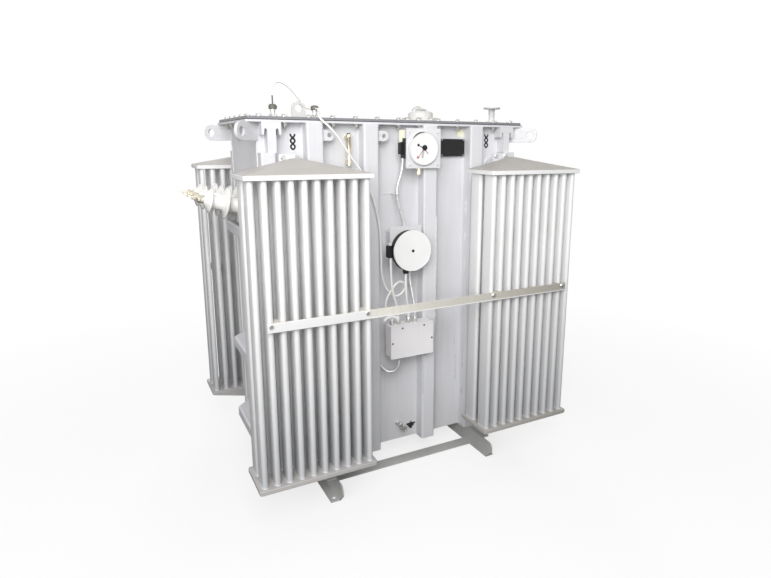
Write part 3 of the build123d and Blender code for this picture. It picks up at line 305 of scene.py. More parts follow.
def bolt(head: float, shank: float, length: float, sides: int = 12) -> Shell:
    """Return a bolt along Z: its washer stands on Z 0, the head above it and the shank below.

    Args:
        head: radius to the corners of the head, in millimetres.
        shank: shank radius.
        length: length of the shank below Z 0.
        sides: points round the shank, half those round the washer.

    Returns:
        A closed surface of three pieces.
    """
    washer_radius, washer_height = head * 1.15, head * 0.18
    washer = lathe([(washer_radius, 0), (washer_radius, washer_height)], sides * 2)
    stem = lathe([(shank * 0.8, -length), (shank, shank * 0.4 - length), (shank, 0)], sides)
    return joined([washer, hexagon(head, head * 0.75).lifted(washer_height), stem])


def tube(path: Array, radii: Array | float, sides: int, reference: Sequence[float]) -> Shell:
    """Carry a circle along a path; its first direction is the reference made square to the path.

    Args:
        path: points in metres.
        radii: one radius in metres, or one for each point.
        sides: points round the tube.
        reference: a direction that the path never runs along.

    Returns:
        A closed tube.
    """
    ahead = np.gradient(path, axis=0)
    ahead /= np.linalg.norm(ahead, axis=1, keepdims=True)
    across = np.cross(ahead, np.asarray(reference, float))
    across /= np.linalg.norm(across, axis=1, keepdims=True)
    upwards = np.cross(ahead, across)
    circle = around_z(sides, 1.0)
    radius = np.broadcast_to(np.asarray(radii, float), (len(path),))[:, None, None]
    ring = across[:, None] * circle[None, :, :1] + upwards[:, None] * circle[None, :, 1:]
    return stack(path[:, None] + radius * ring)


def place(origin: Sequence[float], up: Sequence[float] = UP, along: Sequence[float] = RIGHT) -> Array:
    """Return the matrix that stands a surface at a point.

    Args:
        origin: the point, in metres.
        up: where the surface's Z axis goes.
        along: about where its X axis goes.

    Returns:
        A 4 by 4 matrix.
    """
    z_axis = np.asarray(up, float) / np.linalg.norm(up)
    x_axis = np.asarray(along, float) - np.dot(along, z_axis) * z_axis
    x_axis /= np.linalg.norm(x_axis)
    matrix = np.eye(4)
    matrix[:3] = np.column_stack([x_axis, np.cross(z_axis, x_axis), z_axis, np.asarray(origin, float)])
    return matrix


def places(origins: Iterable[Sequence[float]], up: Sequence[float]) -> Array:
    """Return one matrix for each origin, all turned the same way."""
    return np.stack([place(origin, up) for origin in origins])


@dataclass(frozen=True)
class Box:
    """The box of a CAD node, with corners in metres."""

    low: Array
    high: Array

    @property
    def centre(self) -> Array:
        """Its middle in metres."""
        return (self.low + self.high) / 2

    @property
    def size(self) -> Array:
        """Its three sides in millimetres."""
        return (self.high - self.low) / MM

    @property
    def foot(self) -> Array:
        """The middle of its lowest face, in metres."""
        return np.array([*self.centre[:2], self.low[2]])

    @property
    def back(self) -> Array:
        """The middle of its rear face, in metres."""
        return np.array([self.centre[0], self.high[1], self.centre[2]])

    def front_corners(self, inset: float) -> list[Point]:
        """Return the four corners of its front face, drawn in by an inset in millimetres."""
        near, far = self.low + inset * MM, self.high - inset * MM
        return [(x, self.low[1], z) for x in (near[0], far[0]) for z in (near[2], far[2])]


def node_box(name: str) -> Box:
    """Return the box of a CAD node."""
    low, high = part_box(name)
    return Box(np.array(low, float), np.array(high, float))


@dataclass(frozen=True)
class Block:
    """A plate or block that faces forwards, in millimetres."""

    width: float
    height: float
    depth: float
    back: Point
    corner: float = 2.0
    edge: float = 1.0

    def shell(self) -> Shell:
        """Stand the block with the middle of its rear face at its place."""
        stand = place(np.array(self.back) * MM, FRONT)
        return slab(self.width, self.height, self.depth, self.corner, self.edge).placed(stand)


# Finishes


def linear(colour: str) -> tuple[float, float, float, float]:
    """Turn an sRGB hex colour into linear light.

    Args:
        colour: a hash sign and six hex digits.

    Returns:
        Red, green, blue and alpha.
    """
    channels = np.array([int(colour[at:at + 2], 16) for at in (1, 3, 5)]) / 255
    light = np.where(channels <= 0.04045, channels / 12.92, ((channels + 0.055) / 1.055) ** 2.4)
    return (*light.tolist(), 1.0)


def add_node(tree: bpy.types.NodeTree, kind: str, inputs: dict | None = None, **settings: object) -> bpy.types.Node:
    """Add a node with its settings, values and links.

    Args:
        tree: the node tree.
        kind: the node's type name.
        inputs: values or sockets for its inputs, by input name or number.
        **settings: attributes of the node.

    Returns:
        The node.
    """
    node = tree.nodes.new(kind)
    for name, value in settings.items():
        setattr(node, name, value)
    for name, value in (inputs or {}).items():
        if isinstance(value, bpy.types.NodeSocket):
            tree.links.new(value, node.inputs[name])
        else:
            node.inputs[name].default_value = value
    return node


def new_tree(name: str) -> tuple[bpy.types.Material, bpy.types.NodeTree]:
    """Make an empty node material.

    Args:
        name: the material's name.

    Returns:
        The material and its tree.
    """
    material = bpy.data.materials.new(name)
    material.use_nodes = True
    material.node_tree.nodes.clear()
    return material, material.node_tree


def grain(
    tree: bpy.types.NodeTree, size_mm: float, stretch: Sequence[float] = (1, 1, 1), detail: float = 3.0
) -> bpy.types.NodeSocket:
    """Return noise on Object coordinates whose blobs are about size_mm, stretched along the axes.

    Args:
        tree: the node tree.
        size_mm: size of the blobs in millimetres.
        stretch: how many times longer the blobs are along each axis.
        detail: octaves of finer noise.

    Returns:
        The noise value, about 0.5 on average.
    """
    spot = add_node(tree, "ShaderNodeTexCoord").outputs["Object"]
    scale = tuple(1.0 / (size_mm * MM * factor) for factor in stretch)
    mapped = add_node(tree, "ShaderNodeMapping", {"Vector": spot, "Scale": scale})
    noise = add_node(tree, "ShaderNodeTexNoise", {"Vector": mapped.outputs[0], "Scale": 1.0, "Detail": detail})
    return noise.outputs["Fac"]


def window(value: bpy.types.NodeSocket, span: tuple[float, float], out: tuple[float, float]) -> dict[str, object]:
    """Return the inputs of a Map Range node that takes a span of a value onto an output range."""
    return {"Value": value, "From Min": span[0], "From Max": span[1], "To Min": out[0], "To Max": out[1]}


def laid_over(
    tree: bpy.types.NodeTree,
    under: str | bpy.types.NodeSocket,
    over: str,
    value: bpy.types.NodeSocket,
    span: tuple[float, float],
    shares: tuple[float, float],
) -> bpy.types.NodeSocket:
    """Lay one colour over another, by a share that changes while a value runs through a span.

    Args:
        tree: the node tree.
        under: hex colour or socket of the lower coat.
        over: hex colour of the upper coat.
        value: what decides, such as a grain or a height.
        span: the values between which the share changes.
        shares: share of the upper coat at both ends of the span.

    Returns:
        The mixed colour.
    """
    share = add_node(tree, "ShaderNodeMapRange", window(value, span, shares)).outputs["Result"]
    lower = linear(under) if isinstance(under, str) else under
    return add_node(tree, "ShaderNodeMix", {0: share, 6: lower, 7: linear(over)}, data_type="RGBA").outputs[2]


@dataclass(frozen=True)
class Finish:
    """A finish with a main colour and a second one for its worn, dull or dusty places."""

    name: str
    colour: str
    second: str

    def inputs(self, tree: bpy.types.NodeTree) -> dict[str, object]:
        """Return the inputs of the shader; each finish has its own."""
        raise NotImplementedError

    def material(self) -> bpy.types.Material:
        """Build the material: one Principled shader with this finish's inputs."""
        material, tree = new_tree(self.name)
        shader = add_node(tree, "ShaderNodeBsdfPrincipled", self.inputs(tree)).outputs[0]
        add_node(tree, "ShaderNodeOutputMaterial", {"Surface": shader})
        return material


@dataclass(frozen=True)
class Paint(Finish):
    """Alkyd enamel sprayed on sheet steel: an even satin coat with a fine orange peel, faint runs and dust."""

    roughness: float = 0.42
    peel_mm: float = 2.6
    cloud_mm: float = 260.0
    run_mm: float = 9.0
    run_stretch: float = 34.0
    scuff_mm: float = 6.0
    patch_mm: float = 40.0
    streak: float = 0.5
    soot: float = 0.16
    dirt: str = "#8C857C"
    dust: str = "#7F7B75"
    dust_height: float = 0.24
    # share of painted shade at the bottom, where less light falls
    low_painted_shade: float = 0.0
    # share of painted shade at the right-hand end, where less light falls
    right_painted_shade: float = 0.0

    def inputs(self, tree: bpy.types.NodeTree) -> dict[str, object]:
        """Give broad clouds of tone, vertical runs, sparse scuffs, settled dust, orange peel and, where asked, painted
        shade towards the bottom and towards the right-hand end.

        Args:
            tree: the node tree.

        Returns:
            The shader's inputs by name.
        """
        clouds = grain(tree, self.cloud_mm, detail=2.0)
        runs = grain(tree, self.run_mm, (1, 1, self.run_stretch), 2.0)
        scuffs = grain(tree, self.scuff_mm, (1, 1, 2.2), 4.0)
        tone = laid_over(tree, self.colour, self.second, clouds, (0.36, 0.68), (0.0, 0.45))
        tone = laid_over(tree, tone, self.second, runs, (0.50, 0.74), (0.0, self.streak))
        tone = laid_over(tree, tone, self.dirt, scuffs, (0.70, 0.78), (0.0, 0.3))
        spot = add_node(tree, "ShaderNodeTexCoord").outputs["Object"]
        axes = add_node(tree, "ShaderNodeSeparateXYZ", {0: spot}).outputs
        tone = laid_over(tree, tone, self.dust, axes["Z"], (0.0, self.dust_height), (self.soot, 0.0))
        if self.low_painted_shade:  # painted shade that thins out up to the middle of the tank
            tone = laid_over(tree, tone, "#96989C", axes["Z"], (0.1, 1.05), (self.low_painted_shade, 0.0))
        if self.right_painted_shade:  # painted shade that deepens towards the right-hand end, where less light falls
            tone = laid_over(tree, tone, "#9A958A", axes["X"], (-0.25, 0.65), (0.0, self.right_painted_shade))
        uneven = window(grain(tree, self.patch_mm), (0.3, 0.7), (self.roughness - 0.07, self.roughness + 0.10))
        peel = {"Height": grain(tree, self.peel_mm, detail=1.0), "Strength": 0.16, "Distance": 0.4 * MM}
        return {
            "Base Color": tone,
            "Roughness": add_node(tree, "ShaderNodeMapRange", uneven).outputs["Result"],
            "IOR": 1.5,
            "Normal": add_node(tree, "ShaderNodeBump", peel).outputs[0],
        }


@dataclass(frozen=True)
class BareMetal(Finish):
    """Turned brass, drawn tube or zinc-plated steel: fine tool lines and a few dull spots."""

    roughness: float
    line_mm: float = 0.7
    tarnish_mm: float = 12.0

    def inputs(self, tree: bpy.types.NodeTree) -> dict[str, object]:
        """Give fine lines in the roughness and cloudy tarnish in the colour.

        Args:
            tree: the node tree.

        Returns:
            The shader's inputs by name.
        """
        tarnish = grain(tree, self.tarnish_mm, detail=4.0)
        lines = grain(tree, self.line_mm, (6, 6, 1), 2.0)
        uneven = window(lines, (0.3, 0.7), (self.roughness - 0.06, self.roughness + 0.12))
        cuts = {"Height": lines, "Strength": 0.1, "Distance": 0.2 * MM}
        return {
            "Base Color": laid_over(tree, self.colour, self.second, tarnish, (0.42, 0.68), (0.0, 0.8)),
            "Metallic": 1.0,
            "Roughness": add_node(tree, "ShaderNodeMapRange", uneven).outputs["Result"],
            "Normal": add_node(tree, "ShaderNodeBump", cuts).outputs[0],
        }


@dataclass(frozen=True)
class Moulded(Finish):
    """Moulded phenolic, PVC or rubber: an even colour with a fine mould grain and a little dust."""

    roughness: float
    grain_mm: float = 0.9
    dust_mm: float = 22.0
    patch_mm: float = 8.0
    ior: float = 1.53

    def inputs(self, tree: bpy.types.NodeTree) -> dict[str, object]:
        """Give the mould grain as bump and dust in faint clouds.

        Args:
            tree: the node tree.

        Returns:
            The shader's inputs by name.
        """
        dusty = grain(tree, self.dust_mm, detail=4.0)
        patches = grain(tree, self.patch_mm, detail=2.0)
        uneven = window(patches, (0.3, 0.7), (self.roughness - 0.05, self.roughness + 0.1))
        texture = {"Height": grain(tree, self.grain_mm, detail=1.0), "Strength": 0.12, "Distance": 0.2 * MM}
        return {
            "Base Color": laid_over(tree, self.colour, self.second, dusty, (0.46, 0.74), (0.0, 0.4)),
            "Roughness": add_node(tree, "ShaderNodeMapRange", uneven).outputs["Result"],
            "IOR": self.ior,
            "Normal": add_node(tree, "ShaderNodeBump", texture).outputs[0],
        }


@dataclass(frozen=True)
class Glaze(Finish):
    """White glazed porcelain, or enamel under a clear window: a hard, wet gloss over an almost even white."""

    roughness: float = 0.12
    cloud_mm: float = 45.0
    wave_mm: float = 14.0

    def inputs(self, tree: bpy.types.NodeTree) -> dict[str, object]:
        """Give faint clouds in the white and a slow waviness in the gloss.

        Args:
            tree: the node tree.

        Returns:
            The shader's inputs by name.
        """
        clouds = grain(tree, self.cloud_mm)
        wave = {"Height": grain(tree, self.wave_mm, detail=1.0), "Strength": 0.05, "Distance": 0.6 * MM}
        return {
            "Base Color": laid_over(tree, self.colour, self.second, clouds, (0.4, 0.72), (0.0, 0.6)),
            "Roughness": self.roughness,
            "IOR": 1.5,
            "Coat Weight": 0.6,
            "Coat Roughness": 0.05,
            "Normal": add_node(tree, "ShaderNodeBump", wave).outputs[0],
        }


# The tank, radiator and header coats take painted shade towards the bottom, and the header and brace coats take
# painted shade towards the right-hand end.
FINISHES: dict[Slot, Finish] = {
    # The tank grey is kept a little darker than the radiator white as painted shade of the wall recessed between the
    # radiators.
    Slot.TANK: Paint("tank_enamel_with_painted_shade", "#E0E0E3", "#D2D2D5", low_painted_shade=0.16),
    # The cover's dark grey is painted shade on its edge, the only side of it in view.
    Slot.COVER: Paint("cover_enamel_with_painted_shade", "#8A8B8F", "#75767A"),
    Slot.FITTING: Paint("fitting_white_enamel", "#DFDEDC", "#CFCECB", streak=0.2, soot=0.0),
    Slot.GASKET: Moulded("oil_proof_rubber", "#26262A", "#3A3A3C", 0.7),
    Slot.RADIATOR: Paint("radiator_white_enamel", "#F0F0F0", "#E4E3E2", streak=0.3, soot=0.5, low_painted_shade=0.72),
    # The header grey, darker than the radiator white, is painted shade on the header roofs, which face away from the
    # light coming from the front.
    Slot.HEADER: Paint("header_enamel_with_painted_shade", "#C4C0BC", "#B4AFAA", soot=0.45, low_painted_shade=0.4, right_painted_shade=0.52),
    Slot.BRACE: Paint("brace_cream_enamel", "#DEDBD3", "#CDC9BF", right_painted_shade=0.78),
    Slot.SKID: Paint("skid_grey_enamel", "#C2C2C0", "#ABABA8", soot=0.05),
    Slot.PORCELAIN: Glaze("white_glazed_porcelain", "#F3F2EF", "#E8E6E0"),
    Slot.STUD: BareMetal("tinned_copper_stud", "#EDE8DA", "#D2C7A8", 0.34),
    Slot.ZINC: BareMetal("zinc_plated_steel", "#E2E2DF", "#C9C8C1", 0.38),
    Slot.KNOB: Moulded("dark_phenolic_knob", "#66625A", "#857F75", 0.42),
    Slot.GAUGE: Paint("gauge_plate_enamel", "#E2E1E3", "#D5D4D7", streak=0.25, soot=0.0),
    Slot.DIAL: Glaze("white_dial_enamel", "#F3F3F2", "#EFEFED", 0.25),
    Slot.BLACK: Moulded("black_phenolic", "#0E0E10", "#1C1C1E", 0.5),
    Slot.BRASS: BareMetal("turned_brass", "#EDE5D2", "#D8C6A0", 0.36),
    Slot.BOX: Paint("box_grey_enamel", "#F0EEEF", "#E2E0E1", streak=0.3, soot=0.0),
    Slot.PLATE: Paint("black_plate_enamel", "#0C0C0E", "#1A1A1C", 0.45, streak=0.2, soot=0.0, dirt="#2A2A2A"),
    Slot.CAPILLARY: BareMetal("drawn_steel_capillary", "#F2F2EC", "#E2E2DA", 0.5),
    Slot.WHITE_LEAD: Moulded("white_pvc_sheath", "#F1F0EE", "#E2E0DC", 0.45),
    Slot.METAL_LEAD: BareMetal("galvanised_ribbed_hose", "#EDEDED", "#D6D6D7", 0.55),
    Slot.FILLING: Moulded("oil_soaked_pressboard", "#8A6A3C", "#6E5430", 0.5),
}


class PaintShop:
    """Makes each finish once and gives it to nodes and pieces."""

    merge_mm: float = 0.02
    softened_from: float = radians(40)
    creased_from: float = radians(38)

    def __init__(self) -> None:
        """Build all the finishes."""
        self.materials = {slot: finish.material() for slot, finish in FINISHES.items()}
        self.red_mark = Moulded("red_pointer_enamel", "#B5666A", "#C08486", 0.5).material()
        self.cream = Paint("hanger_cream_enamel", "#F4F3DA", "#ECEACC", streak=0.2, soot=0.0).material()

    def dress_nodes(self) -> None:
        """Give every CAD node the finish of its slot."""
        slots = {entry["node"]: Slot(entry["material_slot"]) for entry in frame["record"]["subparts"]}
        for name, node in frame["nodes"].items():
            node.material_slots[0].material = self.materials[slots[name]]

    def soften(self, names: Iterable[str], width_mm: float) -> None:
        """Break the edges of CAD nodes with a small bevel.

        Args:
            names: the nodes.
            width_mm: width of the broken edge.
        """
        for name in names:
            node = frame["nodes"][name]
            merge = node.modifiers.new("merge", "WELD")
            merge.merge_threshold = self.merge_mm * MM
            bevel = node.modifiers.new("broken_edges", "BEVEL")
            bevel.width = width_mm * MM
            bevel.segments = 2
            bevel.limit_method = "ANGLE"
            bevel.angle_limit = self.softened_from

    def piece(
        self,
        name: str,
        shell: Shell,
        slot: Slot,
        replaced: Sequence[str] = (),
        look: bpy.types.Material | None = None,
    ) -> None:
        """Turn a surface into a finished piece of the object, riding on the body.

        Args:
            name: the piece's name.
            shell: its surface.
            slot: its finish.
            replaced: the CAD nodes that it stands for.
            look: a material of its own, where the slot's finish doesn't serve.
        """
        mesh = bpy.data.meshes.new(name)
        mesh.from_pydata(shell.points.tolist(), [], shell.quads.tolist() + shell.tris.tolist())
        mesh.polygons.foreach_set("use_smooth", np.ones(len(mesh.polygons), bool))
        mesh.set_sharp_from_angle(angle=self.creased_from)
        mesh.materials.append(look or self.materials[slot])
        piece = bpy.data.objects.new(name, mesh)
        bpy.context.scene.collection.objects.link(piece)
        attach(piece, BODY)
        if replaced:
            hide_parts(*replaced)
        LOG.info("%s: %d faces", name, len(mesh.polygons))


# Sub-assemblies


@dataclass
class Radiators:
    """The oval tubes, their collars, the header lips, the flanged necks and the fastenings of the braces."""

    shop: PaintShop
    banks: tuple[str, ...] = ("front_left", "front_right", "rear_left", "rear_right")
    tube_depth: float = 72.0
    tube_thickness: float = 22.0
    columns: int = 10
    rows: int = 2
    collar: float = 2.4
    lip_height: float = 17.0
    lip_reach: float = 2.0
    lip_lap: float = 0.4
    neck_radius: float = 30.0
    neck_bead: float = 5.0
    joint_reach: float = 78.0
    flange_length: float = 80.0
    flange_height: float = 102.0
    flange_thickness: float = 7.4
    flange_bolt_inset: float = 14.0
    seal_thickness: float = 2.4
    seal_inset: float = 3.0
    brace_bolt_xs: tuple[float, ...] = (-676.0, -306.0, 284.0, 668.0)
    brace_bolt_lift: float = 7.0
    key_height: float = 30.0
    key_depth: float = 46.0
    key_seat: float = 17.0
    key_play: float = 0.6
    splice_x: float = -294.0
    strap_height: float = 34.0
    strap_thickness: float = 2.2
    strap_lap: float = 0.6
    edge_height: float = 4.0
    edge_thickness: float = 1.6
    edge_lap: float = 0.4
    edge_lift: float = 3.0

    def tube_feet(self, tubes: Box) -> Array:
        """Return where the tubes of one bank stand.

        Args:
            tubes: the box of the bank's tubes.

        Returns:
            The middle of each tube's foot, in metres.
        """
        inset = np.array([self.tube_thickness, self.tube_depth]) / 2 * MM
        first, last = tubes.low[:2] + inset, tubes.high[:2] - inset
        xs, ys = np.linspace(first[0], last[0], self.columns), np.linspace(first[1], last[1], self.rows)
        return np.array([(x, y, tubes.low[2]) for x in xs for y in ys])

    def build_bank(self, node: str) -> None:
        """Build the tubes and the weld collars of one radiator.

        Args:
            node: the CAD node of its tubes.
        """
        tubes = node_box(node)
        height = tubes.size[2]
        stands = places(self.tube_feet(tubes), UP)
        outline = oval_outline(self.tube_depth, self.tube_thickness)
        oval = layered([outline, outline], [0, height])
        self.shop.piece(node.replace("tubes", "oval_tubes"), oval.placed(stands), Slot.RADIATOR, [node])
        wide = oval_outline(self.tube_depth + 2 * self.collar, self.tube_thickness + 2 * self.collar, 8)
        tight = oval_outline(self.tube_depth, self.tube_thickness, 8)
        rings = [wide, (wide + tight) / 2, tight]
        levels = self.collar * np.array([0, 0.8, 1.5])
        collar_pair = (layered(rings, levels), layered(rings[::-1], height - levels[::-1]))
        collars = joined([collar.placed(stands) for collar in collar_pair])
        self.shop.piece(node.replace("tubes", "weld_collars"), collars, Slot.RADIATOR)

    def build_lips(self) -> None:
        """Roll a thin bright lip round the open side of each header."""
        lips, sills = [], []
        for bank in self.banks:
            header, tubes = node_box(f"radiator_{bank}_headers"), node_box(f"radiator_{bank}_tubes")
            length, depth, _ = header.size + 2 * self.lip_reach
            rim = slab(length, depth, self.lip_height, 8.0, 1.4)
            x, y, _ = header.centre
            lips.append(rim.moved((x, y, tubes.high[2] - self.lip_lap * MM)))
            sills.append(rim.moved((x, y, tubes.low[2] + (self.lip_lap - self.lip_height) * MM)))
        self.shop.piece("radiator_header_lips", joined(lips), Slot.RADIATOR)
        # The sills take the header grey as painted shade, while the lips take the radiator white.
        self.shop.piece("radiator_header_sills", joined(sills), Slot.HEADER)

    def neck(self, length: float) -> tuple[Shell, Shell, Shell]:
        """Return the pipe with its flanges, the seal and the bolts of a neck that stands on the wall along Z.

        Args:
            length: from the wall to the header, in millimetres.

        Returns:
            The three surfaces.
        """
        radius, bead = self.neck_radius, self.neck_bead
        half_seal = self.seal_thickness / 2
        pipe = lathe([(radius, 0), (radius, length)], 48)
        root = lathe([(radius + bead, 0), (radius + bead - 1, bead / 2), (radius, bead)], 48)
        flange = slab(self.flange_length, self.flange_height, self.flange_thickness, 8.0, 1.0)
        pair = [flange.lifted(self.joint_reach + step) for step in (-half_seal - self.flange_thickness, half_seal)]
        inner = (self.flange_length - 2 * self.seal_inset, self.flange_height - 2 * self.seal_inset)
        seal = slab(*inner, self.seal_thickness, 6.0, 0.2).lifted(self.joint_reach - half_seal)
        x = self.flange_length / 2 - self.flange_bolt_inset
        y = self.flange_height / 2 - self.flange_bolt_inset
        outer_face = self.joint_reach + half_seal + self.flange_thickness
        corners = np.array([(i * x, j * y, outer_face) for i in SIDES for j in SIDES]) * MM
        return joined([pipe, root, *pair]), seal, bolt(9.0, 5.0, 22.0).placed(places(corners, UP))

    def build_necks(self) -> None:
        """Set the eight necks between the walls and the headers."""
        box, wall_y = node_box("radiator_necks"), node_box("tank_wall_rear").high[1]
        half_length, half_height = self.flange_length / 2 * MM, self.flange_height / 2 * MM
        x = box.high[0] - half_length
        levels = (box.high[2] - half_height, box.low[2] + half_height)
        spots = [((side * x, row * wall_y, z), (0, row, 0)) for side in SIDES for row in SIDES for z in levels]
        seats = np.stack([place(spot, out) for spot, out in spots])
        metal, seal, bolts = self.neck((box.high[1] - wall_y) / MM)
        self.shop.piece("radiator_neck_pipes", metal.placed(seats), Slot.TANK, ["radiator_necks"])
        self.shop.piece("radiator_neck_seals", seal.placed(seats), Slot.GASKET)
        self.shop.piece("radiator_neck_bolts", bolts.placed(seats), Slot.ZINC)

    def on_braces(self, shell: Shell, xs: Sequence[float], y: float, z: float) -> Shell:
        """Copy a surface along the front and the rear brace, facing outwards.

        Args:
            shell: the surface.
            xs: its places along the brace, in metres.
            y: its distance from the middle of the part.
            z: its height.

        Returns:
            All the copies.
        """
        return shell.placed(np.stack([place((x, row * y, z), (0, row, 0)) for row in SIDES for x in xs]))

    def build_brace_bolts(self) -> None:
        """Bolt the braces to the banks, key them between the tubes, cap the splice and lay a white strip along the
        lower edge of the right part as a painted highlight.
        """
        brace, tubes = node_box("radiator_braces"), node_box("radiator_front_right_tubes")
        (left, _, foot), (right, face_y, _) = brace.low, brace.high
        z, splice = brace.centre[2], self.splice_x * MM
        studs = self.on_braces(
            bolt(8.5, 5.0, 20.0), np.array(self.brace_bolt_xs) * MM, face_y, z + self.brace_bolt_lift * MM
        )
        self.shop.piece("brace_bolts", studs, Slot.ZINC)
        pitch = (tubes.size[0] - self.tube_thickness) / (self.columns - 1)
        first = tubes.low[0] + self.tube_thickness / 2 * MM
        gaps = [first + pitch * (gap + 0.5) * MM for gap in (0, self.columns - 3)]
        key = slab(pitch - self.tube_thickness - self.key_play, self.key_height, self.key_depth, 1.5, 0.5)
        key_y = face_y - (self.key_seat + self.key_depth) * MM
        keys = self.on_braces(key, [side * x for side in SIDES for x in gaps], key_y, z)
        self.shop.piece("brace_keys", keys, Slot.BRACE)
        strap = slab((splice - left) / MM, self.strap_height, self.strap_thickness, 1.5, 0.6)
        straps = self.on_braces(strap, [(left + splice) / 2], face_y - self.strap_lap * MM, z)
        self.shop.piece("brace_left_straps", straps, Slot.RADIATOR)
        # A white strip along the lower edge of the right part paints the highlight where the brace's rounded lip
        # catches the light.
        edge = slab((right - splice) / MM - self.edge_height, self.edge_height, self.edge_thickness, 0.8, 0.4)
        edge_y, edge_z = face_y - self.edge_lap * MM, foot + self.edge_lift * MM
        edges = self.on_braces(edge, [(right + splice) / 2], edge_y, edge_z)
        self.shop.piece("brace_edge_painted_highlights", edges, Slot.RADIATOR)

    def build(self) -> None:
        """Build the four banks, the lips, the necks and the fastenings of the braces."""
        for bank in self.banks:
            self.build_bank(f"radiator_{bank}_tubes")
        self.build_lips()
        self.build_necks()
        self.build_brace_bolts()


